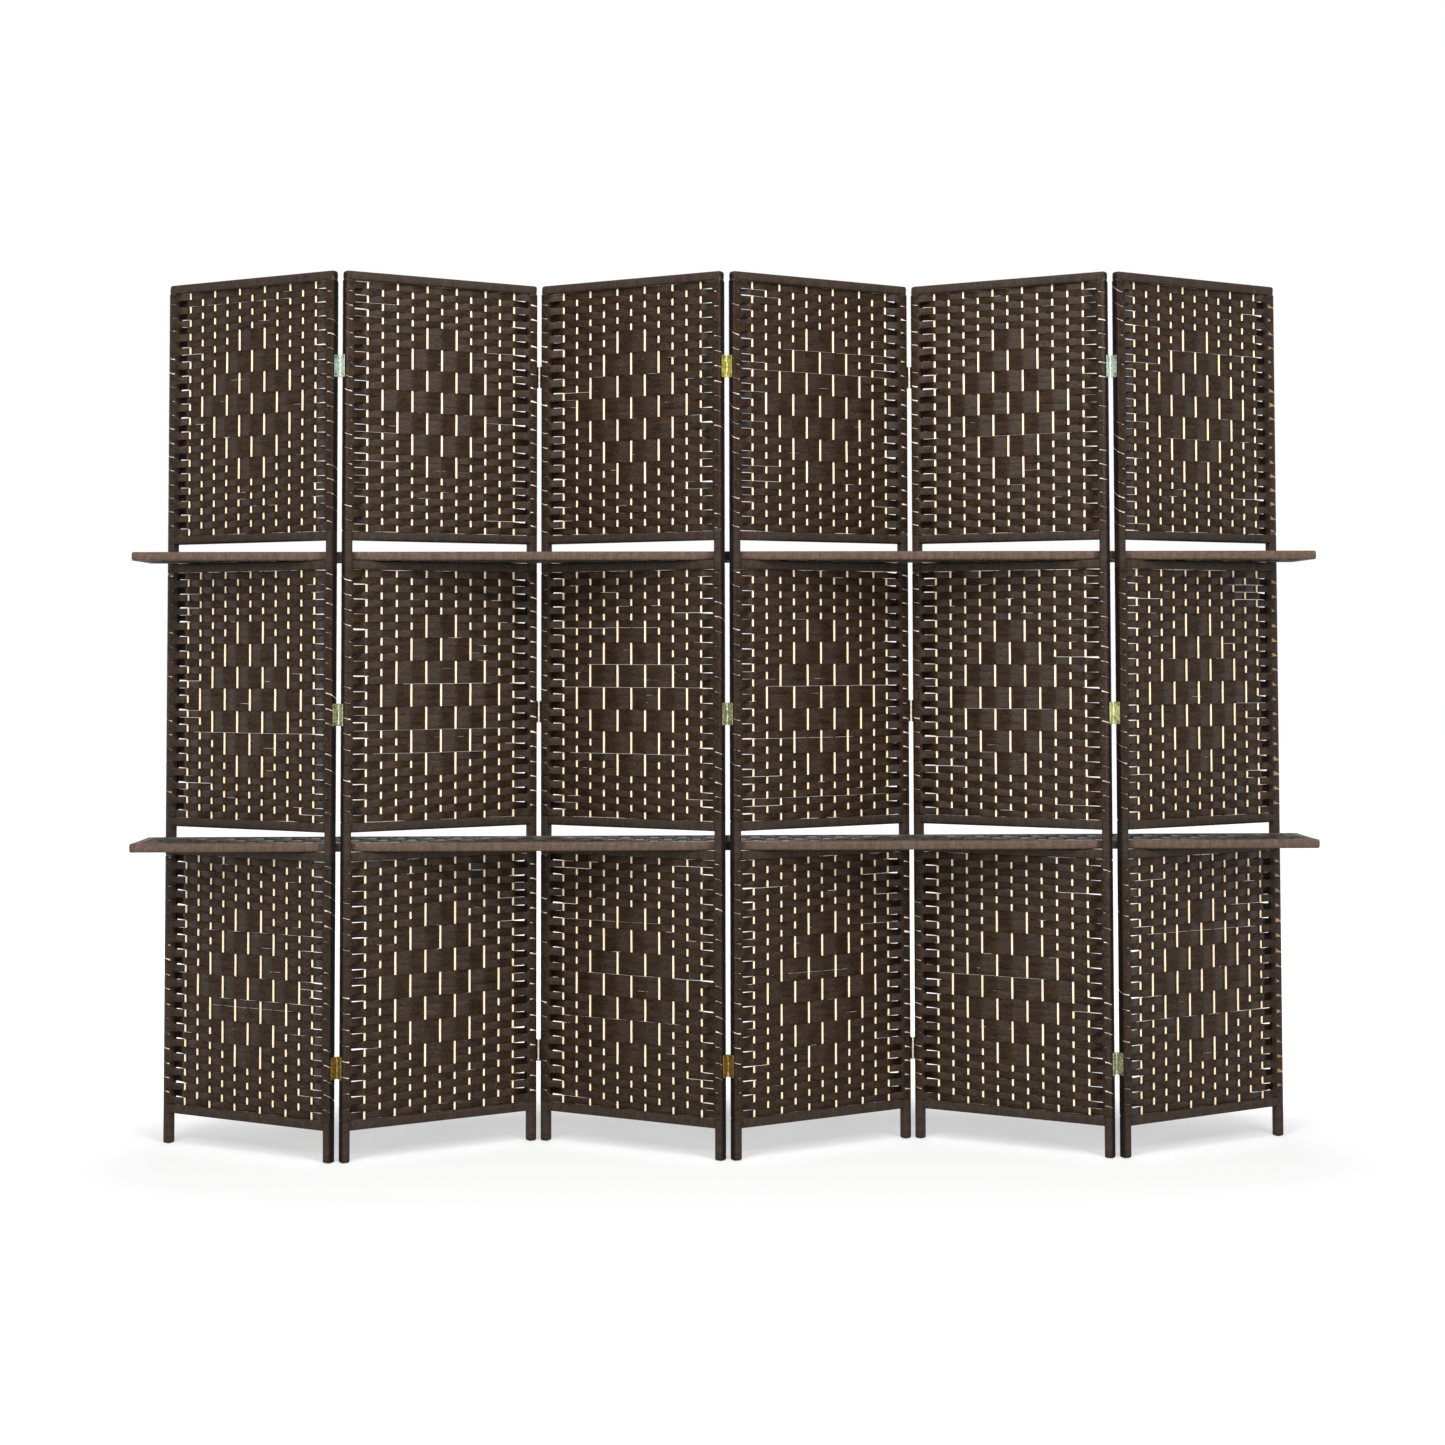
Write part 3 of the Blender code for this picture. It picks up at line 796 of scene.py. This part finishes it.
def make_materials():
    """The finishes of the screen, under the names by which its pieces take them."""
    groups = {"fibre": make_fibre_group(), "side_shade": make_side_shade_group(),
              "grain": make_grain_group(), "plating": make_plating_group()}
    finishes = (
        (make_band_material, {
            # the third colour of a band is that of its flecks of painted highlight
            "band": ("dyed_paper_band", (0.004, 0.0012, 0.0003), (0.033, 0.0170, 0.0080),
                     (0.14, 0.11, 0.09), 0.29, (0, 0, 1)),
            "shelf_band": ("shelf_band", (0.007, 0.006, 0.004), (0.040, 0.035, 0.027),
                           (0.13, 0.12, 0.10), 0.55, (0, 1, 0))}),
        (make_cord_material, {
            "cord": ("dyed_paper_cord", (0.0105, 0.0072, 0.0050), (0.054, 0.0350, 0.0250),
                     0.55, 0.16),
            "shelf_cord": ("shelf_cord", (0.035, 0.021, 0.014), (0.140, 0.093, 0.068),
                           0.5, 0.12)}),
        (make_wood_material, {
            # the third colour of each wood is the painted shade at the edges of a stick
            "stake": ("pale_stake", (0.84, 0.71, 0.47), (0.94, 0.86, 0.68),
                      (0.55, 0.28, 0.09), 0.5),
            "core": ("post_wood", (0.80, 0.62, 0.42), (0.95, 0.84, 0.66),
                     (0.55, 0.28, 0.09), 0.6),
            # a darker copy of the post wood: painted shade
            "amber": ("shaded_post_wood", (0.22, 0.12, 0.04), (0.40, 0.24, 0.09),
                      (0.20, 0.11, 0.04), 0.6),
            # near-black wood: painted shade of the pockets beside the posts
            "stain": ("pocket_shade_wood", (0.010, 0.007, 0.005), (0.035, 0.024, 0.018),
                      (0.010, 0.007, 0.005), 0.6),
            # near-black slats under the shelf mats
            "slat": ("near_black_slat", (0.004, 0.0035, 0.003), (0.014, 0.012, 0.010),
                     (0.004, 0.0035, 0.003), 0.6)}),
        (make_metal_material, {
            "silver": ("silver_plating", (0.34, 0.39, 0.34), (0.66, 0.74, 0.68), 0.33),
            "pale": ("pale_plating", (0.36, 0.37, 0.19), (0.72, 0.74, 0.50), 0.33),
            "yellow": ("yellow_plating", (0.34, 0.30, 0.08), (0.70, 0.66, 0.32), 0.33),
            "olive": ("olive_plating", (0.22, 0.23, 0.14), (0.60, 0.61, 0.46), 0.36),
            "orange": ("orange_plating", (0.20, 0.13, 0.03), (0.48, 0.36, 0.13), 0.36),
            "dull": ("dull_plating", (0.36, 0.31, 0.26), (0.64, 0.58, 0.50), 0.40),
            "screw": ("screw_metal", (0.22, 0.21, 0.16), (0.42, 0.41, 0.34), 0.40),
            # near black: painted shade of the screws' recesses
            "sunk": ("screw_recess_shade", (0.010, 0.010, 0.008), (0.03, 0.03, 0.025), 0.60)}),
    )
    return {name: make(groups, *looks) for make, kinds in finishes
            for name, looks in kinds.items()}


# Frames

def panel_place(panel):
    """Where the middle of a panel's own plane stands, and its turn."""
    low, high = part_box("panel_%d_frame" % panel)
    middle = (low + high) / 2
    turn = -FOLD_ANGLE if panel % 2 else FOLD_ANGLE
    return Matrix.Translation((middle.x, middle.y, 0)) @ Matrix.Rotation(turn, 4, "Z")


def field_span(panel, field):
    """Lower and upper edge of a woven field."""
    low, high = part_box("panel_%d_weave_%s" % (panel, field))
    return low.z - FIELD_CLEARANCE, high.z + FIELD_CLEARANCE


def rail_levels(panel):
    """Heights of the middles of the six rails, from the floor up."""
    levels = []
    for field in FIELDS:
        low, high = field_span(panel, field)
        levels += [low - HALF_POLE, high + HALF_POLE]
    return levels


def end_to_end(runs):
    """Places of straight runs in the flat layout, in strips as long as the longest run."""
    longest = max(math.dist(run[0], run[-1]) for run in runs)
    ways, strips = [], []
    strip, used = 0, 0.0
    for run in runs:
        length = math.dist(run[0], run[-1])
        if used + length > longest * 1.001:
            strip += 1
            used = 0.0
        ways += [(used + math.dist(run[0], point)) / longest for point in run]
        strips += [strip] * len(run)
        used += length
    return {"way": ways, "strip": strips}


def wind(name, runs, ends, trees, sizes):
    """The cord wound round straight poles, which are rounded at their points as ends says."""
    guide = guide_mesh(name, runs, {"round_end": ends, **end_to_end(runs)})
    return grow(name, guide, trees["winding"], {
        "Ridge": CORD_RIDGE, "Fade": SLANT_FADE, **sizes})


def make_wound_poles(panel, trees, materials):
    """The cord wound round the rails and round the posts where no band goes round them."""
    levels = rail_levels(panel)
    runs = [[(-HALF_WIDTH, 0, levels[-1]), (HALF_WIDTH, 0, levels[-1])]]
    ends = [TOP_END_ROUNDING] * 2
    for level in levels[:-1]:
        runs.append([(-FIELD_HALF - SKIN, 0, level), (FIELD_HALF + SKIN, 0, level)])
        ends += [0.0, 0.0]
    spans = [(0.0, levels[0] + HALF_POLE)]
    spans += [(levels[pair] - HALF_POLE, levels[pair + 1] + HALF_POLE) for pair in (1, 3)]
    for x in (-POST_CENTRE, POST_CENTRE):
        for low, high in spans:
            runs.append([(x, 0, low), (x, 0, (low + high) / 2), (x, 0, high)])
            ends += [0.0 if low else FOOT_END_ROUNDING, 0.0, 0.0]
    name = "panel_%d_wound_poles" % panel
    mesh = wind(name, runs, ends, trees, {
        "Pitch": CORD_PITCH, "Width": POLE, "Depth": POLE, "Rounding": POLE_ROUNDING,
        "Seed": panel, "Material": materials["cord"]})
    # The outer sides of the posts get painted shade.
    finish_skin(mesh, HALF_WIDTH - SIDE_SHADE_EDGE, HALF_WIDTH, panel_place(panel))
    put_piece(name, mesh, "panel_%d" % panel, ["panel_%d_frame" % panel])


def make_cores(panel, materials):
    """The wood of the posts, which shows where bands part: bare within a field, but near black
    towards it and at the joints, as painted shade of the pockets where a band goes behind a post."""
    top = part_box("panel_%d_frame" % panel)[1].z
    half = HALF_POLE - SKIN
    inner = half - CORE_INSET
    stain = materials["stain"]
    parts = []
    for side in (-1, 1):
        centre = side * POST_CENTRE
        # The right post of the last panel takes the darker copy: painted shade on the wood that
        # shows there.
        wood = materials["amber" if (panel, side) == (PANEL_COUNT, 1) else "core"]
        parts.append(box_mesh((centre - inner, -inner, CORE_INSET),
                              (centre + inner, inner, top - HALF_POLE), CORE_ROUNDING, [stain]))
        for field in FIELDS:
            low, high = field_span(panel, field)
            bare = box_mesh((centre - half, -half, low + BARE_END),
                            (centre + half, half, high - BARE_END), CORE_ROUNDING, [wood, stain])
            # Faces towards the field get the painted shade.
            for face in bare.polygons:
                if side * (face.center.x - centre) < POCKET_SHADE_DEPTH - half:
                    face.material_index = 1
            parts.append(bare)
    mesh = joined("panel_%d_post_cores" % panel, parts)
    mesh.transform(panel_place(panel))
    put_piece("panel_%d_post_cores" % panel, mesh, "panel_%d" % panel)


# Woven fields

def stake_place(stake):
    """Where a stake stands across its panel, counted from 1 at the left."""
    return -FIELD_HALF + stake * STAKE_STEP


def stake_shows(row, stake, above):
    """True where the band goes behind a stake, so that the stake shows."""
    block = (row - above - 1) // BLOCK_ROWS
    from_middle = abs(stake - (STAKE_COUNT + 1) // 2)
    if 0 <= block < len(DIAMOND_SPREADS) and from_middle <= DIAMOND_SPREADS[block]:
        return (from_middle + DIAMOND_SPREADS[block]) % 2 == 0
    return (row + stake + above) % 2 == 0


def row_edges(low, high, above, below, rng):
    """Heights between the rows, from the top down."""
    weights = [1.0] * above + [DIAMOND_ROW_SHARE] * DIAMOND_ROWS + [1.0] * below
    weights = [weight * rng.uniform(*ROW_VARIETY) for weight in weights]
    edges = [high]
    for weight in weights:
        edges.append(edges[-1] - weight * (high - low) / sum(weights))
    return edges


class RowEdges:
    """The lines between the rows of a field: their waver, and the slits along them."""

    def __init__(self, heights, above, rng):
        self.heights = heights
        self.slits = []
        self.waves = []
        last = len(heights) - 1
        for edge in range(last + 1):
            in_diamond = above < edge < above + DIAMOND_ROWS
            at_block = in_diamond and (edge - above) % BLOCK_ROWS == 0
            self.slits.append(self.draw_slits(edge in (0, last), in_diamond and not at_block,
                                              at_block, rng))
            self.waves.append([(rng.uniform(*ROW_WAVE_HEIGHT), rng.uniform(*ROW_WAVE_RATE),
                                rng.uniform(0, 2 * math.pi)) for _ in range(2)])

    @staticmethod
    def draw_slits(at_rail, inside_block, at_block, rng):
        """Slits of one line: start, end and height."""
        spans = []
        for side in (-1, 1):
            if rng.random() < (POST_SLIT_CHANCE_IN_BLOCK if inside_block else POST_SLIT_CHANCE):
                reach = STAKE_STEP * rng.choice(POST_SLIT_STEPS)
                spans.append((side * FIELD_HALF, side * (FIELD_HALF - reach),
                              rng.uniform(*POST_SLIT_HEIGHT)))
        if rng.random() < (LONG_SLIT_CHANCE_AT_BLOCK if at_block else LONG_SLIT_CHANCE):
            spans.append((-FIELD_HALF * rng.uniform(*LONG_SLIT_REACH),
                          FIELD_HALF * rng.uniform(*LONG_SLIT_REACH),
                          rng.uniform(*LONG_SLIT_HEIGHT)))
        count = rng.randint(*RAIL_SLIT_COUNT) if at_rail else rng.choice(SHORT_SLIT_COUNTS)
        longer = RAIL_SLIT_STRETCH if at_rail else 1.0
        for _ in range(count):
            start = rng.uniform(-FIELD_HALF, FIELD_HALF)
            spans.append((start, start + rng.uniform(*SHORT_SLIT_STEPS) * longer * STAKE_STEP,
                          rng.uniform(*(RAIL_SLIT_HEIGHT if at_rail else SHORT_SLIT_HEIGHT))))
        return [(min(a, b), max(a, b), size) for a, b, size in spans]

    def height(self, edge, x):
        """Height of a line at a place across the field."""
        return self.heights[edge] + sum(size * math.sin(rate * x + phase)
                                        for size, rate, phase in self.waves[edge])

    def retreat(self, edge, x):
        """How far each row stays back from a line. Below zero the rows overlap."""
        gap = -ROW_OVERLAP
        for start, end, size in self.slits[edge]:
            inward = min(x - start, end - x)
            if inward > 0:
                gap = max(gap, size * min(1.0, inward / SLIT_END))
        return gap / 2


def loop_plan():
    """Half a turn round a post, from its inner front corner to its inner back corner.

    Points are (x away from the field, y) from the middle of the post, with the share of the
    way at each.
    """
    half = BAND_ON_POST
    bend = POLE_ROUNDING - BAND_THICKNESS / 2
    points = [(-half + LOOP_START, -half), (-half / 2, -half), (0.0, -half), (half - bend, -half)]
    for step in (1, 2):
        turn = math.pi / 2 * step / 3
        points.append((half - bend + bend * math.sin(turn), -half + bend - bend * math.cos(turn)))
    points += [(half, -half + bend), (half, 0.0)]
    points += [(x, -y) for x, y in points[-2::-1]]
    ways = [0.0]
    for (x0, y0), (x1, y1) in zip(points, points[1:]):
        ways.append(ways[-1] + math.hypot(x1 - x0, y1 - y0))
    return [(x, y, way / ways[-1]) for (x, y), way in zip(points, ways)]


class Band:
    """The one band of a woven field, row by row from the top down."""

    def __init__(self, panel, field):
        self.rng = random.Random("%d %s" % (panel, field))
        self.corner_notch = CORNER_NOTCH.get(panel, 0.0)
        self.low, self.high = field_span(panel, field)
        self.above, below = ROW_COUNTS[field][panel - 1]
        self.rows = self.above + DIAMOND_ROWS + below
        heights = row_edges(self.low, self.high, self.above, below, self.rng)
        self.edges = RowEdges(heights, self.above, self.rng)
        self.post = loop_plan()
        self.points, self.tops, self.bottoms, self.breaks = [], [], [], [0]
        self.loop(0, -1 if self.in_front(1) else 1)
        for row in range(1, self.rows + 1):
            self.run(row)
            self.loop(row, 1 if self.in_front(row) else -1)
            if row % STRIP_ROWS == 0:
                self.breaks.append(len(self.points))

    def keep(self, x, y, top, bottom):
        """Add a point of the path, with the edges of the band there."""
        rise = FAN_RATE * y * ((top + bottom) / 2 - FAN_HEIGHT)
        self.points.append((x, y, (top + bottom) / 2 + rise))
        self.tops.append(min(top + rise, self.high))
        self.bottoms.append(max(bottom + rise, self.low))

    def in_front(self, row):
        """True for a row that comes round in front of both posts."""
        return (row + self.above) % 2 == 1

    def level(self, row):
        """Height of the middle of a row, also of one beyond the field."""
        heights = self.edges.heights
        if row < 1:
            return heights[0] + (heights[0] - heights[1]) / 2
        if row > self.rows:
            return heights[-1] - (heights[-2] - heights[-1]) / 2
        return (heights[row - 1] + heights[row]) / 2

    def loop(self, row, side):
        """Round a post, from one row down to the next. It always starts in front of the right
        post and behind the left one."""
        pitch = self.level(row) - self.level(row + 1)
        gap = self.rng.choice(LOOP_GAPS)
        notches = [self.rng.choice(NOTCH_DEPTHS) for _ in range(4)]
        lengths = [self.rng.choice(NOTCH_LENGTHS) for _ in range(4)]
        if side > 0:
            notches[:2] = [notch + self.corner_notch for notch in notches[:2]]
        facing = 1 if self.in_front(row) else -1
        for x, y, way in self.post:
            centre = self.level(row) - pitch * (way - LOOP_EASE * math.sin(2 * math.pi * way))
            halves = []
            for edge in (0, 1):
                lost = 0.0
                for end, share in ((0, way), (1, 1 - way)):
                    corner = 2 * end + edge
                    left = max(0.0, 1 - share / (NOTCH_WAY * lengths[corner]))
                    lost += notches[corner] * (NOTCH_STEP * min(1.0, 3 * left)
                                               + (1 - NOTCH_STEP) * left ** 2)
                halves.append(pitch * (LOOP_COVER - lost / 2) - gap / 2)
            self.keep(side * (POST_CENTRE + x), facing * y, centre + halves[0], centre - halves[1])

    def path_across(self, row):
        """Places and depths of a row from the left post to the right one."""
        shift = -ROW_SHIFT if row % 2 else ROW_SHIFT
        post = -BAND_ON_POST if self.in_front(row) else BAND_ON_POST
        depths = [post]
        for stake in range(1, STAKE_COUNT + 1):
            shows = stake_shows(row, stake, self.above)
            depths.append((BAND_OFFSET if shows else -BAND_OFFSET) + shift)
        depths.append(post)
        over = STAKE_WIDTH / 2 + STAKE_COVER
        samples = []
        for gap in range(STAKE_COUNT + 1):
            start = stake_place(gap) + (over if gap else 0.0)
            end = stake_place(gap + 1) - (over if gap < STAKE_COUNT else 0.0)
            shares = {0: POST_TO_STAKE, STAKE_COUNT: STAKE_TO_POST}.get(gap, STAKE_TO_STAKE)
            for share, risen in shares:
                samples.append((start + share * (end - start),
                                depths[gap] + risen * (depths[gap + 1] - depths[gap])))
        return samples

    def run(self, row):
        """Across the field, from one post to the other."""
        front = self.in_front(row)
        pinches = {side: self.rng.choice(PINCH_STRENGTHS)
                   * self.rng.uniform(*(FRONT_PINCH if front else BACK_PINCH[side]))
                   for side in (-1, 1)}
        pitch = self.edges.heights[row - 1] - self.edges.heights[row]
        for x, y in self.path_across(row)[::1 if front else -1]:
            top = self.edges.height(row - 1, x) - self.edges.retreat(row - 1, x)
            bottom = self.edges.height(row, x) + self.edges.retreat(row, x)
            side = 1 if x > 0 else -1
            beside = min(1.0, max(0.0, (abs(x) - FIELD_HALF) / STAKE_STEP + PINCH_REACH[side]))
            pinch = pinches[side] * pitch * beside ** PINCH_TAPER[side]
            if (side > 0) == front:
                bottom += pinch
            else:
                top -= pinch
            self.keep(x, y, top, bottom)

    def numbers(self):
        """Numbers along the path, for the sweep, the paper's fibres and the flat layout."""
        steps = np.linalg.norm(np.diff(np.array(self.points), axis=0), axis=1)
        along = np.concatenate(([0.0], np.cumsum(steps)))
        breaks = self.breaks + ([len(self.points)] if self.breaks[-1] < len(self.points) else [])
        way, strip = [], []
        for count, (start, end) in enumerate(zip(breaks, breaks[1:])):
            stop = along[min(end, len(along) - 1)]
            way += list((along[start:end] - along[start]) / (stop - along[start]))
            strip += [count] * (end - start)
        return {"top": self.tops, "bottom": self.bottoms, "along": along, "way": way,
                "strip": strip}


def make_weave(panel, trees, materials):
    """The woven bands and the stakes of a panel's three fields."""
    place = panel_place(panel)
    body = "panel_%d" % panel
    stakes = []
    for field in FIELDS:
        name = "panel_%d_band_%s" % (panel, field)
        band = Band(panel, field)
        mesh = grow(name, guide_mesh(name, [band.points], band.numbers()), trees["band"], {
            "Thickness": BAND_THICKNESS, "Sides": BAND_SIDES, "Tilt": BAND_TILT,
            "Material": materials["band"]})
        # The band gets the same painted shade beside the outer sides of the posts.
        finish_skin(mesh, HALF_WIDTH - SIDE_SHADE_EDGE, HALF_WIDTH, place, sharp_ends=False)
        put_piece(name, mesh, body, ["panel_%d_weave_%s" % (panel, field)])
        for stake in range(1, STAKE_COUNT + 1):
            x = stake_place(stake)
            stakes.append([(x, 0, band.low - STAKE_TENON), (x, 0, band.high + STAKE_TENON)])
    mesh = grow("panel_%d_stakes" % panel, guide_mesh("stakes", stakes, {}), trees["stick"], {
        "Width": STAKE_WIDTH, "Thickness": STAKE_THICKNESS, "Rounding": STAKE_ROUNDING,
        "Step": STAKE_POINTS, "Waver": STAKE_WAVER, "Material": materials["stake"]}, place)
    mesh.shade_smooth()
    put_piece("panel_%d_stakes" % panel, mesh, body)


# Shelf boards

class Board:
    """A shelf board: a border of wound rails round a woven mat on each face."""

    def __init__(self, level, side, trees, materials):
        self.node = "shelf_%s_%s" % (level, side)
        self.side = side
        self.trees = trees
        self.materials = materials
        self.low, self.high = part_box(self.node)
        self.middle = (self.low + self.high) / 2
        self.thickness = self.high.z - self.low.z
        self.reach = (self.high.y - self.low.y) / 2 - SHELF_BORDER + SKIN
        self.depth = SLAT_DEPTH - self.thickness / 2
        inside = (self.high.x - self.low.x) / 2 - SHELF_BORDER + SKIN
        count = round(2 * inside / SLAT_STEP)
        self.slat_step = 2 * inside / count
        self.slat_places = [-inside + (slat + 0.5) * self.slat_step for slat in range(count)]

    def make_border(self):
        """Two long rails and two short ones between them."""
        low, high, z = self.low, self.high, self.middle.z
        left = low.x if self.side == "left" else SHELF_GAP / 2
        right = high.x if self.side == "right" else -SHELF_GAP / 2
        half = SHELF_BORDER / 2
        inside = SHELF_BORDER - SKIN
        runs = [[(left, y, z), (right, y, z)] for y in (low.y + half, high.y - half)]
        runs += [[(x, low.y + inside, z), (x, high.y - inside, z)]
                 for x in (left + half, right - half)]
        ends = [SHELF_END_ROUNDING, 0.0] if self.side == "left" else [0.0, SHELF_END_ROUNDING]
        name = self.node + "_border"
        mesh = wind(name, runs, ends * 2 + [0.0] * 4, self.trees, {
            "Pitch": SHELF_CORD_PITCH, "Width": SHELF_BORDER, "Depth": self.thickness,
            "Rounding": SHELF_ROUNDING, "Seed": SHELF_SEED,
            "Material": self.materials["shelf_cord"]})
        # Painted shade darkens the boards where the two of a level meet.
        finish_skin(mesh, SHELF_END_SHADE, SHELF_END_SHADE / 2)
        put_piece(name, mesh, self.node, [self.node])

    def face_place(self, face):
        """Turns what is made upright, with its front at -Y, onto a face of the board."""
        return Matrix.Translation(self.middle) @ Matrix.Rotation(-face * math.pi / 2, 4, "X")

    def slats(self, face):
        """The flat slats across the board that its band is woven on."""
        reach = self.reach + SKIN
        runs = [[(x, self.depth, -reach), (x, self.depth, reach)] for x in self.slat_places]
        return grow("slats", guide_mesh("slats", runs, {}), self.trees["stick"], {
            "Width": SLAT_WIDTH, "Thickness": SLAT_THICKNESS, "Rounding": SLAT_THICKNESS / 4,
            "Step": reach, "Waver": 0.0, "Material": self.materials["slat"]},
            self.face_place(face))

    def mat(self, face):
        """The woven band on the upper or the lower face, row by row."""
        rng = random.Random("mat %d" % face)
        lift = (SLAT_THICKNESS + BAND_THICKNESS) / 2 + WEAVE_CLEARANCE
        row_height = 2 * self.reach / SHELF_ROWS
        end = self.slat_places[-1] + self.slat_step / 2
        runs = []
        numbers = {"top": [], "bottom": [], "strip": [], "along": [], "way": []}
        for row in range(SHELF_ROWS):
            stops = [(-end, self.depth)]
            for slat, x in enumerate(self.slat_places):
                over = (slat + row // SHELF_BLOCK_ROWS) % 2
                y = self.depth + (lift if over else -lift)
                stops += [(x - SLAT_WIDTH / 2, y), (x + SLAT_WIDTH / 2, y)]
            stops.append((end, self.depth))
            base = self.reach - row * row_height
            for x, _ in stops:
                numbers["top"].append(base + rng.uniform(*SHELF_TOP_WAVER))
                numbers["bottom"].append(base - row_height + rng.uniform(*SHELF_BOTTOM_WAVER))
                numbers["strip"].append(row + (SHELF_ROWS if face < 0 else 0))
                numbers["along"].append(x + SHELF_FIBRE_STEP * row)
                numbers["way"].append((x + end) / (2 * end))
            runs.append([(x, y, 0) for x, y in stops])
        return grow("mat", guide_mesh("mat", runs, numbers), self.trees["band"], {
            "Thickness": BAND_THICKNESS, "Sides": BAND_SIDES, "Tilt": 0.0,
            "Material": self.materials["shelf_band"]}, self.face_place(face))

    def make(self):
        """Border, mats and slats."""
        self.make_border()
        mats = joined(self.node + "_mats", [self.mat(face) for face in (1, -1)])
        lay_flat(mats)
        slats = joined(self.node + "_slats", [self.slats(face) for face in (1, -1)])
        for mesh in (mats, slats):
            mesh.shade_smooth()
            put_piece(mesh.name, mesh, self.node)


# Hinges

def make_hinge_finish(materials):
    """Give the hinge leaves their metal."""
    for name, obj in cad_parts.items():
        if name.startswith("hinge_"):
            line, level = name.split("_")[1:3]
            obj.data.materials.clear()
            obj.data.materials.append(materials[HINGE_PLATING[level][int(line) - 1]])


def make_screws(panel, trees, materials):
    """The screws of all hinge leaves on the posts of a panel."""
    barrel = 1 if panel % 2 else -1
    runs, facing = [], []
    for side in (-1, 1):
        if not 1 <= panel + (side - 1) // 2 < PANEL_COUNT:
            continue
        for level in HINGE_PLATING:
            low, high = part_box("hinge_1_%s_leaf_left" % level)
            for end in (-1, 1):
                runs.append([(side * (HALF_WIDTH + LEAF_FACE), -side * barrel * SCREW_OFFSET,
                              (low.z + high.z + end * SCREW_SPREAD) / 2)])
                facing.append(side)
    name = "panel_%d_screws" % panel
    mesh = grow(name, guide_mesh(name, runs, {"facing": facing}), trees["screw"], {
        "Seat": SCREW_SEAT, "Radius": SCREW_RADIUS, "Rise": SCREW_RISE, "Slot": SCREW_SLOT,
        "Seed": panel, "Metal": materials["screw"], "RecessShade": materials["sunk"]},
        panel_place(panel))
    put_piece(name, mesh, "panel_%d" % panel)


# Studio

def background_seen(tree):
    """One where the background is looked at, straight or in a reflection."""
    path = add(tree, "ShaderNodeLightPath")
    mirrored = calc(tree, "MAXIMUM", path["Is Glossy Ray"], path["Is Transmission Ray"])
    return calc(tree, "MAXIMUM", path["Is Camera Ray"], mirrored)


def make_floor():
    """A pale floor that glows where it is looked at, and less so round the feet, which darkens the
    floor there as painted shade under the screen.
    """
    bpy.ops.mesh.primitive_plane_add(size=FLOOR_SIZE, location=(0, 0, -FLOOR_DROP))
    floor = bpy.context.object
    floor.name = "floor"
    material, tree, shader = start_material("white_floor")
    seen = background_seen(tree)
    shader.feed({
        "Base Color": mixed(tree, seen, (0.85, 0.85, 0.86), (0.42, 0.42, 0.42)),
        "Roughness": 0.9, "Specular IOR Level": 0.1})
    oval = add(tree, "ShaderNodeMapping", {
        "Vector": object_place(tree), "Location": SHADOW_PLACE, "Scale": SHADOW_SHAPE})
    distance = add(tree, "ShaderNodeVectorMath", {0: oval}, operation="LENGTH")
    faded = add(tree, "ShaderNodeMapRange", {
        "Value": distance, "From Min": SHADOW_EDGE[0], "From Max": SHADOW_EDGE[1],
        "To Min": FLOOR_GLOW[0], "To Max": FLOOR_GLOW[1]}, interpolation_type="SMOOTHSTEP")
    glow = add(tree, "ShaderNodeEmission", {
        "Color": (1.0, 1.0, 1.0, 1.0), "Strength": seen * faded})
    Made(tree, tree.nodes["Material Output"]).feed({
        "Surface": add(tree, "ShaderNodeAddShader", {0: shader, 1: glow})})
    floor.data.materials.append(material)


def make_world():
    """A white background, which lights the object only a little."""
    world = bpy.data.worlds.new("studio")
    bpy.context.scene.world = world
    world.use_nodes = True
    tree = world.node_tree
    Made(tree, tree.nodes["Background"]).feed({
        "Color": (1.0, 1.0, 1.0, 1.0),
        "Strength": fitted(tree, background_seen(tree), 0.0, 1.0, WORLD_LIGHT, 1.0)})


def make_lamps():
    """Soft lamps, each turned to its aim."""
    for name, (place, aim, width, height, watts) in LAMPS.items():
        lamp = bpy.data.lights.new(name, "AREA")
        lamp.shape = "RECTANGLE"
        lamp.size = width
        lamp.size_y = height
        lamp.energy = watts
        obj = bpy.data.objects.new(name, lamp)
        obj.location = place
        obj.rotation_euler = (Vector(aim) - Vector(place)).to_track_quat("-Z", "Y").to_euler()
        bpy.context.scene.collection.objects.link(obj)


def make_camera():
    """The photograph's viewpoint."""
    camera = bpy.data.cameras.new("camera")
    camera.sensor_width = 36.0
    camera.lens = LENS
    camera.shift_y = LENS_SHIFT
    obj = bpy.data.objects.new("camera", camera)
    obj.location = CAMERA_PLACE
    obj.rotation_euler = (Matrix.Rotation(CAMERA_PAN, 3, "Z")
                          @ Matrix.Rotation(math.pi / 2 + CAMERA_PITCH, 3, "X")
                          @ Matrix.Rotation(CAMERA_ROLL, 3, "Z")).to_euler()
    bpy.context.scene.collection.objects.link(obj)
    bpy.context.scene.camera = obj
    bpy.context.scene.view_settings.view_transform = "Standard"


def main():
    """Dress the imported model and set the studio."""
    trees = {"band": make_band_tree(), "winding": make_winding_tree(),
             "stick": make_stick_tree(), "screw": make_screw_tree()}
    materials = make_materials()
    for panel in range(1, PANEL_COUNT + 1):
        make_wound_poles(panel, trees, materials)
        make_cores(panel, materials)
        make_weave(panel, trees, materials)
        make_screws(panel, trees, materials)
    for level in ("lower", "upper"):
        for side in ("left", "right"):
            Board(level, side, trees, materials).make()
    make_hinge_finish(materials)
    make_floor()
    make_world()
    make_lamps()
    make_camera()


main()
